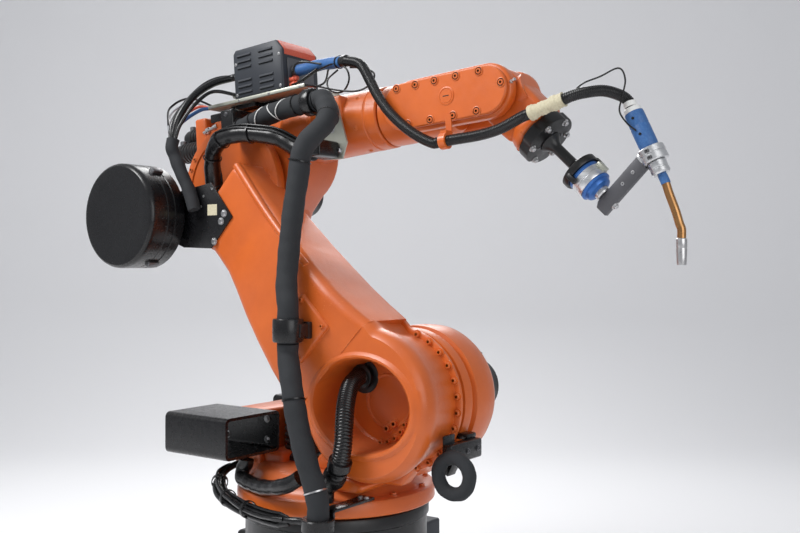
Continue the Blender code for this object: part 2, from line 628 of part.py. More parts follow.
def build_arm():
    """Arm housing with its motors, the wire feeder and the hose brackets."""
    near = ARM_NEAR_Y
    far = ARM_FAR_Y
    outline = (arc((0.142, 0.089), 0.148, 20.0, -58.0, 7) + arc((0.0, 0.0), ARM_HUB_RADIUS, -62.0, -215.0, 14)
               + [(-0.165, 0.16), (-0.15, 0.205), (-0.10, 0.232), (0.20, 0.236)])
    housing = plate(outline, near, far)
    round_edges(housing, 0.012)
    adopt(housing, "arm_housing", ORANGE, arm_pivot)
    barrel = turned([(0.0, ARM_LENGTH + SEAM_X), (0.085, ARM_LENGTH + SEAM_X), (BARREL_RADIUS, BARREL_START + 0.1),
                     (BARREL_RADIUS, BARREL_START), (BARREL_RADIUS - 0.045, BARREL_START - 0.06),
                     (0.0, BARREL_START - 0.06)], (0.0, 0.0, ARM_OFFSET), (1.0, 0.0, 0.0))
    motor_plate = box((-0.19, near + 0.004, 0.105), (-0.14, far + 0.045, 0.25))
    boss = box((0.325, BRACKET_SEAT_Y, 0.10), (0.44, -0.03, 0.215))
    top_pad = box((-0.05, -0.05, 0.20), (0.26, 0.05, 0.243))
    join(housing, barrel, motor_plate, boss, top_pad)
    cut(housing, rod((0.0, near - 0.02, 0.0), (0.0, LINK_FAR_Y + GEAR_DEPTH + PIN_GAP, 0.0),
                     GEAR_RADIUS + PIN_GAP))
    elbow_motor = rod((0.0, far + SEAT_GAP, 0.0), (0.0, far + 0.18, 0.0), 0.075, sides=24)
    adopt(elbow_motor, "elbow_motor", BLACK_PAINT, arm_pivot)
    for name, y, z in (("wrist_motor_lower", -0.004, 0.158), ("wrist_motor_upper", 0.042, 0.212),
                       ("wrist_motor_side", 0.088, 0.158)):
        motor = rod((-0.19 - SEAT_GAP, y, z), (-0.315, y, z), 0.034, sides=20)
        adopt(motor, name, BLACK_PAINT, arm_pivot)

    mount = box((0.0, -0.075, 0.243 + SEAT_GAP), (0.10, 0.075, RAIL_BOTTOM - SEAT_GAP))
    adopt(mount, "feeder_mount", BLACK_PAINT, arm_pivot)
    join(mount, box((0.02, -0.045, 0.2435), (0.22, 0.045, RAIL_BOTTOM - 0.001)))
    rail_top = RAIL_BOTTOM + RAIL_THICKNESS
    rail = box((RAIL_BACK, -0.10, RAIL_BOTTOM), (RAIL_FRONT, 0.06, rail_top))
    round_edges(rail, 0.003)
    adopt(rail, "feeder_rail", PALE, arm_pivot)
    feeder = box((FEEDER_FRONT - FEEDER_LENGTH, -FEEDER_WIDTH / 2.0, rail_top + SEAT_GAP),
                 (FEEDER_FRONT, FEEDER_WIDTH / 2.0, rail_top + FEEDER_HEIGHT))
    round_edges(feeder, 0.012)
    adopt(feeder, "feeder_box", DARK_GREY, arm_pivot)

    bracket_y = BRACKET_SEAT_Y - SEAT_GAP
    ring_reach = SLEEVE_RADIUS + 0.009
    bracket = plate([arm_point(0.0, 1.522), arm_point(0.036, 1.467), arm_point(0.102, 1.467),
                     arm_point(0.118, 1.513), arm_point(0.083, 1.618), (RING_X + 0.02, RING_Z + ring_reach),
                     (RING_X - 0.02, RING_Z + ring_reach)], bracket_y - 0.006, bracket_y)
    adopt(bracket, "elbow_bracket", PALE, arm_pivot)
    low_x, low_z = arm_point(0.038, 1.466)
    block = box((low_x, -0.188, low_z), (low_x + 0.056, bracket_y - 0.006 - SEAT_GAP, low_z + 0.045))
    round_edges(block, 0.004)
    adopt(block, "hose_block", RUBBER, arm_pivot)
    ring = box((RING_X - 0.015, RING_Y - ring_reach, RING_Z - ring_reach),
               (RING_X + 0.015, bracket_y - 0.006 - SEAT_GAP, RING_Z + ring_reach))
    round_edges(ring, 0.004)
    adopt(ring, "elbow_ring", BLACK_PAINT, arm_pivot)
    cut(ring, rod((RING_X - 0.05, RING_Y, RING_Z), (RING_X + 0.05, RING_Y, RING_Z),
                  SLEEVE_RADIUS + SEAT_GAP, sides=32))
    gland_x = 0.045
    gland = box((gland_x, -0.169, 0.134), (gland_x + 0.05, -0.105, 0.2245))
    round_edges(gland, 0.005)
    adopt(gland, "sleeve_gland", BLACK_PAINT, arm_pivot)
    join(gland, box((gland_x + 0.004, -0.12, 0.2055), (gland_x + 0.046, near - SEAT_GAP, 0.2245)))
    cable = curve_tube([Vector((FEEDER_FRONT + SEAT_GAP, -0.03, 0.330)), Vector((0.25, -0.031, 0.330)),
                        Vector((0.33, -0.045, 0.326)), Vector((0.40, -0.0655, 0.3155)), Vector((0.442, -0.079, 0.308))],
                       OUTLET_RADIUS)
    adopt(cable, "feeder_outlet", BLUE, arm_pivot)


def build_wrist():
    """Wrist housing with its fork, side cover and pivot pin."""
    tube = rod((SEAM_X + SEAM_GAP, 0.0, 0.0), (-0.05, 0.0, 0.0), WRIST_TUBE_RADIUS, 0.077)
    adopt(tube, "wrist_housing", ORANGE, wrist_pivot)
    fork = plate(stadium(-0.30, CHEEK_RADIUS, CHEEK_RADIUS), -CHEEK_NEAR_Y, CHEEK_NEAR_Y)
    round_edges(fork, 0.006)
    join(tube, fork)
    cut(tube, box((SLOT_BACK, -SLOT_HALF_WIDTH, -0.12), (0.12, SLOT_HALF_WIDTH, 0.12)))
    pin_end = SLOT_HALF_WIDTH + 0.012
    cut(tube, rod((0.0, -pin_end, 0.0), (0.0, pin_end, 0.0), PIVOT_RADIUS + SEAT_GAP, sides=24))
    pin = rod((0.0, -pin_end + SEAT_GAP, 0.0), (0.0, pin_end - SEAT_GAP, 0.0), PIVOT_RADIUS, sides=24)
    adopt(pin, "pivot_pin", STEEL, wrist_pivot)
    cover = plate(stadium(COVER_BACK, COVER_HALF_HEIGHT, COVER_HALF_HEIGHT),
                  -CHEEK_NEAR_Y - COVER_THICKNESS, -CHEEK_NEAR_Y - SEAT_GAP)
    round_edges(cover, 0.003)
    adopt(cover, "wrist_cover", ORANGE, wrist_pivot)
    cover_y = -CHEEK_NEAR_Y - COVER_THICKNESS - SEAT_GAP
    saddle = box((SADDLE_X - 0.0085, cover_y - 0.005, SADDLE_Z + 0.016), (SADDLE_X + 0.0085, cover_y, -0.045))
    adopt(saddle, "conduit_saddle", STEEL, wrist_pivot)
    join(saddle, box((SADDLE_X - 0.009, SADDLE_Y - 0.006, SADDLE_Z + 0.012),
                     (SADDLE_X + 0.009, cover_y - 0.001, SADDLE_Z + 0.027)))
    join(saddle, rod((SADDLE_X - 0.0095, SADDLE_Y, SADDLE_Z), (SADDLE_X + 0.0095, SADDLE_Y, SADDLE_Z),
                     CONDUIT_RADIUS + 0.007, sides=24))
    cut(saddle, rod((SADDLE_X - 0.05, SADDLE_Y, SADDLE_Z), (SADDLE_X + 0.05, SADDLE_Y, SADDLE_Z),
                    CONDUIT_RADIUS + SEAT_GAP, sides=24))


def build_hand():
    """Hand housing in the fork, with the round nose of axis 6."""
    hand = plate(stadium(-HAND_RADIUS, NOSE_START + HAND_RADIUS, HAND_RADIUS), -HAND_HALF_WIDTH, HAND_HALF_WIDTH)
    adopt(hand, "hand_housing", ORANGE, hand_pivot)
    cut(hand, box((NOSE_START, -0.1, -0.1), (0.25, 0.1, 0.1)))
    nose = turned([(0.0, NOSE_END), (NOSE_RADIUS - 0.005, NOSE_END), (NOSE_RADIUS, NOSE_END - 0.005),
                   (NOSE_RADIUS, NOSE_START), (0.055, NOSE_START - 0.012), (0.0, NOSE_START - 0.012)],
                  (0.0, 0.0, 0.0), (1.0, 0.0, 0.0))
    join(hand, nose)
    cut(hand, rod((0.0, -0.08, 0.0), (0.0, 0.08, 0.0), PIVOT_RADIUS + PIN_GAP, sides=24))
    join(hand, box((0.128, -0.102, 0.028), (0.1495, -0.035, 0.062)))
    cut(hand, rod(TAPE_START - (TAPE_END - TAPE_START), TAPE_END, TAPE_RADIUS + SEAT_GAP, sides=24))
    adopt(rod(TAPE_START, TAPE_END, TAPE_RADIUS, sides=24), "tape_wrap", CREAM, hand_pivot)


def build_tool():
    """Tool flange, collision sensor and the welding torch on its bar."""
    flange = turned([(0.0, TOOL_FLANGE_END), (TOOL_FLANGE_RADIUS - 0.004, TOOL_FLANGE_END),
                     (TOOL_FLANGE_RADIUS, TOOL_FLANGE_END - 0.004),
                     (TOOL_FLANGE_RADIUS, NOSE_END + 0.003), (0.05, NOSE_END + 0.003),
                     (0.05, NOSE_END + SEAT_GAP), (0.0, NOSE_END + SEAT_GAP)],
                    (0.0, 0.0, 0.0), (1.0, 0.0, 0.0))
    adopt(flange, "tool_flange", BLACK_PAINT, tool_pivot)
    torch_rod = turned([(0.0, ROD_END), (YOKE_RADIUS, ROD_END), (YOKE_RADIUS, ROD_END - YOKE_THICKNESS),
                        (ROD_RADIUS, ROD_END - YOKE_THICKNESS), (ROD_RADIUS, TOOL_FLANGE_END + SEAT_GAP),
                        (0.0, TOOL_FLANGE_END + SEAT_GAP)], (0.0, 0.0, 0.0), (1.0, 0.0, 0.0), steps=32)
    adopt(torch_rod, "torch_rod", BLACK_PAINT, tool_pivot)
    sensor = turned([(0.0, SENSOR_END), (SENSOR_RADIUS, SENSOR_END), (SENSOR_RADIUS, ROD_END + 0.006),
                     (0.032, ROD_END + SEAT_GAP), (0.0, ROD_END + SEAT_GAP)],
                    (0.0, 0.0, 0.0), (1.0, 0.0, 0.0), steps=32)
    adopt(sensor, "collision_sensor", ALUMINIUM, tool_pivot)
    band = turned([(0.0, NUT_END), (0.02, NUT_END), (0.02, BAND_END), (SENSOR_RADIUS - 0.002, BAND_END),
                   (SENSOR_RADIUS - 0.002, SENSOR_END + SEAT_GAP), (0.0, SENSOR_END + SEAT_GAP)],
                  (0.0, 0.0, 0.0), (1.0, 0.0, 0.0), steps=32)
    adopt(band, "sensor_band", BLUE, tool_pivot)
    bar = box((NUT_END + SEAT_GAP, -BAR_THICKNESS / 2.0, BAR_LOW),
              (NUT_END + BAR_WIDTH, BAR_THICKNESS / 2.0, BAR_HIGH))
    round_edges(bar, 0.002)
    adopt(bar, "bracket_bar", GREY_METAL, tool_pivot)

    along = Vector((math.cos(TORCH_TILT), 0.0, -math.sin(TORCH_TILT)))
    top = Vector((TORCH_X, 0.0, TORCH_Z))
    low = top + along * TORCH_BODY_LENGTH
    body = rod(top, low, TORCH_BODY_RADIUS, sides=24)
    adopt(body, "torch_body", BLUE, tool_pivot)
    clamp = rod(low + along * SEAT_GAP, low + along * CLAMP_LENGTH, CLAMP_RADIUS, sides=32)
    adopt(clamp, "torch_clamp", ALUMINIUM, tool_pivot)
    join(clamp, box((NUT_END + 0.001, -0.014, BAR_HIGH - 0.01), (NUT_END + 0.03, 0.014, BAR_HIGH + 0.012)))
    cut(clamp, box((NUT_END - 0.05, -0.06, BAR_HIGH - 0.05), (NUT_END + 0.12, 0.06, BAR_HIGH + SEAT_GAP)))
    cut(clamp, rod(low - along * 0.03, low + along * 0.09, COLLAR_STEM + SEAT_GAP, sides=32))
    collar = rod(low + along * (2.0 * SEAT_GAP), low + along * COLLAR_END, COLLAR_STEM, sides=32)
    adopt(collar, "torch_collar", ALUMINIUM, tool_pivot)
    join(collar, rod(low + along * (CLAMP_LENGTH + SEAT_GAP), low + along * COLLAR_END, COLLAR_RADIUS, sides=32))

    start = low + along * (COLLAR_END + SEAT_GAP)
    down = turned_direction(-HAND_DROP, 0.0, -1.0)
    end = Vector((NECK_END_X, 0.0, NECK_END_Z))
    route = [start, start + along * 0.02, Vector((0.5042, 0.0, 0.1088)), Vector((0.5428, 0.0, 0.0905)),
             Vector((0.5709, 0.0, 0.0750)), end - down * 0.02, end]
    neck = curve_tube(route, NECK_RADIUS)
    adopt(neck, "torch_neck", BRONZE, tool_pivot)
    nozzle = rod(end + down * SEAT_GAP, end + down * NOZZLE_LENGTH, NOZZLE_RADIUS, NOZZLE_RADIUS * 0.86, sides=24)
    adopt(nozzle, "torch_nozzle", STEEL, tool_pivot)


def curve_tube(points, radius):
    """A bent tube through local points."""
    curve = bpy.data.curves.new("tube", "CURVE")
    curve.dimensions = "3D"
    curve.bevel_depth = radius
    curve.bevel_resolution = 3
    curve.use_fill_caps = True
    route = smooth_route(points, radius)
    spline = curve.splines.new("POLY")
    spline.points.add(len(route) - 1)
    for point, place in zip(spline.points, route):
        point.co = (*place, 1.0)
    obj = bpy.data.objects.new("tube", curve)
    parts.objects.link(obj)
    return solid_from_curve(obj, Matrix.Identity(4))


def local_points(parent, points):
    """Points of a body's frame, in world coordinates."""
    matrix = parent.matrix_basis
    return [matrix @ Vector(p) for p in points]


def stepped(start, direction, *distances):
    """Points at distances from a start along one direction."""
    return [start + direction.normalized() * d for d in distances]


def build_hoses():
    """The foam sleeve and the loose hoses, each split where it crosses a joint."""
    x, y, z = CLIP_CENTRE
    end = RING_X + 0.022
    sleeve = local_points(arm_pivot, [(0.0953, -0.1355, 0.168), (0.115, -0.1355, 0.168), (0.1957, -0.138, 0.186),
                                      (0.2711, -0.143, 0.1935), (RING_X - 0.05, RING_Y, RING_Z),
                                      (RING_X - 0.025, RING_Y, RING_Z), (end, RING_Y, RING_Z),
                                      (end + SEAT_GAP, RING_Y, RING_Z), (end + 0.022, RING_Y, RING_Z)])
    hose("sleeve_on_arm", sleeve[:7], SLEEVE_RADIUS, FOAM, arm_pivot)
    hose("sleeve_hose_upper", [sleeve[7], sleeve[8], (0.106, -0.173, 1.603), (0.132, -0.196, 1.574),
                               (0.138, -0.220, 1.545), (0.122, -0.238, 1.520), (0.100, -0.251, 1.492),
                               (0.089, -0.260, 1.455), (0.087, -0.265, 1.410), (0.079, -0.272, 1.340),
                               (0.075, -0.282, 1.260), (0.074, -0.291, 1.185), (0.080, -0.304, 1.120),
                               (x, y, z + 0.062), (x, y, z + 0.04), (x, y, z - 0.034)],
         SLEEVE_RADIUS, FOAM, link_pivot)
    hose("sleeve_hose_lower", [(x, y, z - 0.034 - SEAT_GAP), (x, y, z - 0.066), (0.122, -0.332, 0.87),
                               (0.152, -0.345, 0.785), (0.186, -0.350, 0.690), (0.212, CLAMP_Y, 0.622),
                               (CLAMP_X, CLAMP_Y, 0.575), (CLAMP_X, CLAMP_Y, 0.555), (CLAMP_X, CLAMP_Y, 0.46)],
         SLEEVE_RADIUS, FOAM, column_pivot)
    hose("hub_hose", [(0.200, RECESS_FLOOR_Y - HUB_PLATE_THICKNESS - SEAT_GAP, 0.875), (0.200, -0.155, 0.875),
                      (0.211, -0.203, 0.857), (0.233, -0.248, 0.820), (0.254, -0.281, 0.775),
                      (0.262, -0.296, 0.722), (0.248, -0.293, 0.670), (0.212, -0.276, 0.625),
                      (0.172, -0.252, 0.595), (0.154, -0.240, 0.575), (0.154, -0.240, 0.5528)],
         HUB_HOSE_RADIUS, RUBBER, column_pivot)

    beam_end = local_points(link_pivot, [(-0.031, -0.15, LINK_LENGTH - BEAM_END_DROP + SEAT_GAP),
                                         (-0.031, -0.15, LINK_LENGTH - BEAM_END_DROP + 0.03)])
    block_x, block_z = arm_point(0.038, 1.466)
    block = local_points(arm_pivot, [(block_x - 0.03, -0.158, block_z + 0.0225),
                                     (block_x - SEAT_GAP, -0.158, block_z + 0.0225)])
    hose("elbow_hose", [*beam_end, (-0.352, -0.151, 1.418), (-0.345, -0.162, 1.468), (-0.314, -0.184, 1.512),
                        (-0.261, -0.202, 1.537), (-0.190, -0.200, 1.547), (-0.122, -0.188, 1.541),
                        (-0.065, -0.174, 1.527), *block], ELBOW_HOSE_RADIUS, RUBBER, arm_pivot)

    wrap_y = BEAM_TOP_NEAR_Y - PLATE_THICKNESS - SEAT_GAP - WRAP_RADIUS
    top = Vector((-0.428, -0.240, 1.545))
    up = Vector((0.0, 0.02, 0.1))
    hose("spool_sleeve", [(-0.352, wrap_y, 1.335), (-0.3615, wrap_y, 1.362), (-0.376, wrap_y, 1.395),
                          (-0.400, -0.233, 1.445), (-0.422, -0.238, 1.495), top - up * 0.25, top],
         WRAP_RADIUS, FOAM, link_pivot)
    rear = local_points(arm_pivot, [(FEEDER_FRONT - FEEDER_LENGTH - 0.04, -0.05, 0.352),
                                    (FEEDER_FRONT - FEEDER_LENGTH - SEAT_GAP, -0.05, 0.352)])
    hose("feeder_cable", [*stepped(top, up, SEAT_GAP, 0.025), (-0.423, -0.218, 1.620), (-0.416, -0.172, 1.680),
                          (-0.405, -0.105, 1.728), *rear], CABLE_RADIUS, DARK_GREY, arm_pivot)

    outlet = Vector((0.442, -0.079, 0.308))
    onward = outlet - Vector((0.40, -0.0655, 0.3155))
    saddle = Vector((SADDLE_X, SADDLE_Y, SADDLE_Z))
    tape_way = TAPE_END - TAPE_START
    torch_top = Vector((TORCH_X, 0.0, TORCH_Z))
    torch_way = Vector((math.cos(TORCH_TILT), 0.0, -math.sin(TORCH_TILT)))
    ahead = Vector((1.0, 0.0, 0.0))
    hose("torch_conduit_rear", [*local_points(arm_pivot, stepped(outlet, onward, SEAT_GAP, 0.03)),
                                (0.166, -0.100, 1.718), (0.206, -0.114, 1.672), (0.238, -0.120, 1.625),
                                (0.277, -0.122, 1.578), (0.324, -0.122, 1.536), (0.374, -0.122, 1.503),
                                *local_points(wrist_pivot, stepped(saddle, ahead, -0.035, -0.02, 0.018))],
         CONDUIT_RADIUS, RUBBER, arm_pivot)
    hose("torch_conduit_middle", [*local_points(wrist_pivot, stepped(saddle, ahead, 0.018 + SEAT_GAP, 0.04)),
                                  (0.556, -0.121, 1.494), (0.610, -0.116, 1.506),
                                  *local_points(hand_pivot, stepped(TAPE_START, tape_way, -0.025, -SEAT_GAP))],
         CONDUIT_RADIUS, RUBBER, wrist_pivot)
    hose("torch_conduit_front", [*local_points(hand_pivot, stepped(TAPE_END, tape_way, SEAT_GAP, 0.02)),
                                 (0.8183, -0.0911, 1.5753), (0.8510, -0.054, 1.5821), (0.8769, -0.0169, 1.5742),
                                 *local_points(tool_pivot, stepped(torch_top, torch_way, -0.02, -SEAT_GAP))],
         CONDUIT_RADIUS, RUBBER, hand_pivot)

    hose("column_sleeve", [(-0.145, -0.222, POCKET_BOTTOM - 0.012), (-0.147, -0.222, 0.615),
                           (-0.156, -0.224, 0.600), (-0.150, -0.234, 0.580), (-0.120, -0.246, 0.5745),
                           (-0.075, -0.264, 0.5738), (-0.031, -0.280, 0.5755), (0.040, -0.306, 0.588),
                           (0.100, -0.322, 0.606)], CURL_RADIUS, FOAM, column_pivot)
    hose("flange_hose", [(-0.264, -REAR_BLOCK_HALF_WIDTH - SEAT_GAP, 0.588), (-0.264, -0.135, 0.588),
                         (-0.278, -0.165, 0.574), (-0.268, -0.204, 0.552), (-0.205, -0.256, 0.532),
                         (-0.085, -0.306, 0.523), (0.035, -0.338, 0.521), (0.120, -0.353, 0.5255),
                         (0.160, CLAMP_Y, 0.528), (CLAMP_X - SLEEVE_RADIUS - 0.013 - SEAT_GAP, CLAMP_Y, 0.5285)],
         FLANGE_HOSE_RADIUS, RUBBER, column_pivot)


build_base()
build_column()
build_link()
build_arm()
build_wrist()
build_hand()
build_tool()
build_hoses()
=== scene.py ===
"""Looks of the industrial robot arm: materials, cast shapes, fasteners, hoses and the studio around it."""

import logging
import math
from abc import ABC, abstractmethod
from dataclasses import dataclass
from enum import Enum
from typing import Callable, Dict, Iterable, List, Optional, Sequence, Tuple, Union

import bmesh
import bpy
from mathutils import Matrix, Vector

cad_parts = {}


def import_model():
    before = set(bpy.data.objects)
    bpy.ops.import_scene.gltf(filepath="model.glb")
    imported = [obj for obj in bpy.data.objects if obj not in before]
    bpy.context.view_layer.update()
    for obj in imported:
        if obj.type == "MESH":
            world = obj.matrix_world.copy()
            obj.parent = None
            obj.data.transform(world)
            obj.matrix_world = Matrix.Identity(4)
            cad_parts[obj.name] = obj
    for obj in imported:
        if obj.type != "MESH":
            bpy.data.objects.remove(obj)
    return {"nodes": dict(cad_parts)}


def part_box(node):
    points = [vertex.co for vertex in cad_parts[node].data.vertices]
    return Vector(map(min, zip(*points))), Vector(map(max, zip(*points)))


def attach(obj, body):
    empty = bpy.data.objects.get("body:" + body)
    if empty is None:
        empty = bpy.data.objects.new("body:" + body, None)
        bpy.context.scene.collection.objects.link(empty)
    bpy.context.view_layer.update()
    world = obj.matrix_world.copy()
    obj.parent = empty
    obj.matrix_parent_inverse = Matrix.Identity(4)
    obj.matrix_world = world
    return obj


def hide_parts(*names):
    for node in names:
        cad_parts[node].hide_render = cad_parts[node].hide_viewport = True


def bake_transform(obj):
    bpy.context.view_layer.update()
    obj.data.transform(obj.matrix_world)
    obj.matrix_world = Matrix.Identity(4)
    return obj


LOG = logging.getLogger("robot_arm_scene")

Colour = Tuple[float, float, float]
Point = Tuple[float, float, float]
Profile = List[Tuple[float, float]]

MERGE = 1e-6
MIX_COLOUR_INPUTS = (0, 6, 7)
MIX_COLOUR_RESULT = 2
ORIGIN = (0.0, 0.0, 0.0)
CURVE_STEPS = 24
RIB_POINTS = 4.0

SHOULDER = Vector((0.28, 0.0, 0.815))
LINK_LENGTH = 0.85
LINK_LEAN = math.radians(46.4)
ARM_RISE = math.radians(4.1)
HAND_DROP = math.radians(44.0)
ELBOW = SHOULDER + Vector((-math.sin(LINK_LEAN), 0.0, math.cos(LINK_LEAN))) * LINK_LENGTH
WRIST = ELBOW + Matrix.Rotation(-ARM_RISE, 3, "Y") @ Vector((0.9, 0.0, 0.145))

# Where hoses and their holders meet. ARM_ and HAND_ values are points of those frames, the others world points.
SLEEVE_RADIUS = 0.029
SLEEVE_CLAMP = (0.225, -0.348)
SLEEVE_CLIP = (0.095, -0.315, 1.004)
ARM_RING = (0.384, -0.153, 0.194)
ARM_OUTLET = (0.442, -0.079, 0.308)
HAND_TAPE = (Vector((0.148, -0.108, 0.0406)), Vector((0.1947, -0.108, 0.1213)))
HAND_TORCH = Vector((0.2963, 0.0, 0.1931))
TORCH_TILT = math.radians(21.2)
TORCH_WAY = Vector((math.cos(TORCH_TILT), 0.0, -math.sin(TORCH_TILT)))
HOSE_SOCKET = (0.038, 0.0, 1.466)
CAP_CENTRE = (0.2, 0.0, 0.875)
COLUMN_SIDE = 0.1157


class Place(Enum):
    """The frames in which shapes are drawn."""

    WORLD = "world"
    LINK = "link"
    ARM = "arm"
    WRIST = "wrist"
    HAND = "hand"

    def matrix(self) -> Matrix:
        """Gives the frame's matrix.

        Returns:
            The matrix that turns a point of the frame into a world point.
        """
        turns = {
            Place.WORLD: (Vector(), 0.0),
            Place.LINK: (SHOULDER, -LINK_LEAN),
            Place.ARM: (ELBOW, -ARM_RISE),
            Place.WRIST: (WRIST, -ARM_RISE),
            Place.HAND: (WRIST, HAND_DROP),
        }
        origin, angle = turns[self]
        return Matrix.Translation(origin) @ Matrix.Rotation(angle, 4, "Y")

    def local(self, point: Point) -> Vector:
        """Turns a world point into a point of the frame.

        Args:
            point: The world point.

        Returns:
            The frame's point.
        """
        return self.matrix().inverted() @ Vector(point)


class Axis(Enum):
    """Directions of a frame."""

    X = (1.0, 0.0, 0.0)
    NEAR = (0.0, -1.0, 0.0)
    FAR = (0.0, 1.0, 0.0)
    UP = (0.0, 0.0, 1.0)


class NodeSketch:
    """A node tree that is written line by line."""

    def __init__(self, tree: bpy.types.NodeTree) -> None:
        """Starts on a tree.

        Args:
            tree: The tree that the nodes are added to.
        """
        self.tree = tree

    def add(self, kind: str, inputs: Optional[Dict[str, object]] = None, **settings: object) -> bpy.types.Node:
        """Adds a node.

        Args:
            kind: The node's type without its "ShaderNode" prefix.
            inputs: Values of its sockets by name; a socket given as value is linked.
            settings: Values of its properties.

        Returns:
            The new node.
        """
        node = self.tree.nodes.new("ShaderNode" + kind)
        for name, value in settings.items():
            setattr(node, name, value)
        for name, value in (inputs or {}).items():
            self.feed(node.inputs[name], value)
        return node

    def feed(self, socket: bpy.types.NodeSocket, value: object) -> None:
        """Gives an input its value.

        Args:
            socket: The input.
            value: A constant, or a socket, which is linked.
        """
        if isinstance(value, bpy.types.NodeSocket):
            self.tree.links.new(value, socket)
        else:
            socket.default_value = value

    def maths(self, operation: str, *values: object) -> bpy.types.NodeSocket:
        """Adds a maths node.

        Args:
            operation: The operation's name.
            values: Numbers or sockets, in the order of the inputs.

        Returns:
            The result's socket.
        """
        node = self.add("Math", operation=operation)
        for socket, value in zip(node.inputs, values):
            self.feed(socket, value)
        return node.outputs[0]

    def ramp(self, value: bpy.types.NodeSocket, low: float, high: float) -> bpy.types.NodeSocket:
        """Stretches a part of a value's range to 0 to 1.

        Args:
            value: The value.
            low: The value that becomes 0.
            high: The value that becomes 1.

        Returns:
            The stretched value.
        """
        node = self.add("MapRange", {"Value": value, "From Min": low, "From Max": high})
        return node.outputs["Result"]

    def mix(self, amount: object, first: object, second: object) -> bpy.types.NodeSocket:
        """Mixes two colours.

        Args:
            amount: The second colour's share.
            first: The colour at 0.
            second: The colour at 1.

        Returns:
            The mixed colour.
        """
        node = self.add("Mix", data_type="RGBA")
        for index, value in zip(MIX_COLOUR_INPUTS, (amount, first, second)):
            self.feed(node.inputs[index], value)
        return node.outputs[MIX_COLOUR_RESULT]


def rgba(colour: Colour) -> Tuple[float, float, float, float]:
    """Adds the alpha to a colour.

    Args:
        colour: Red, green and blue.

    Returns:
        The colour with alpha 1.
    """
    return (colour[0], colour[1], colour[2], 1.0)


def new_group(name: str, inputs: Dict[str, Tuple[str, object]], outputs: Dict[str, str]) -> Tuple[
        bpy.types.NodeTree, NodeSketch, bpy.types.Node, bpy.types.Node]:
    """Starts a shader node group with named sockets.

    Args:
        name: The group's name.
        inputs: Socket type and default value by name.
        outputs: Socket type by name.

    Returns:
        The group, a sketch of it, its input node and its output node.
    """
    group = bpy.data.node_groups.new(name, "ShaderNodeTree")
    for key, (kind, value) in inputs.items():
        socket = group.interface.new_socket(name=key, in_out="INPUT", socket_type="NodeSocket" + kind)
        socket.default_value = value
    for key, kind in outputs.items():
        group.interface.new_socket(name=key, in_out="OUTPUT", socket_type="NodeSocket" + kind)
    return group, NodeSketch(group), group.nodes.new("NodeGroupInput"), group.nodes.new("NodeGroupOutput")


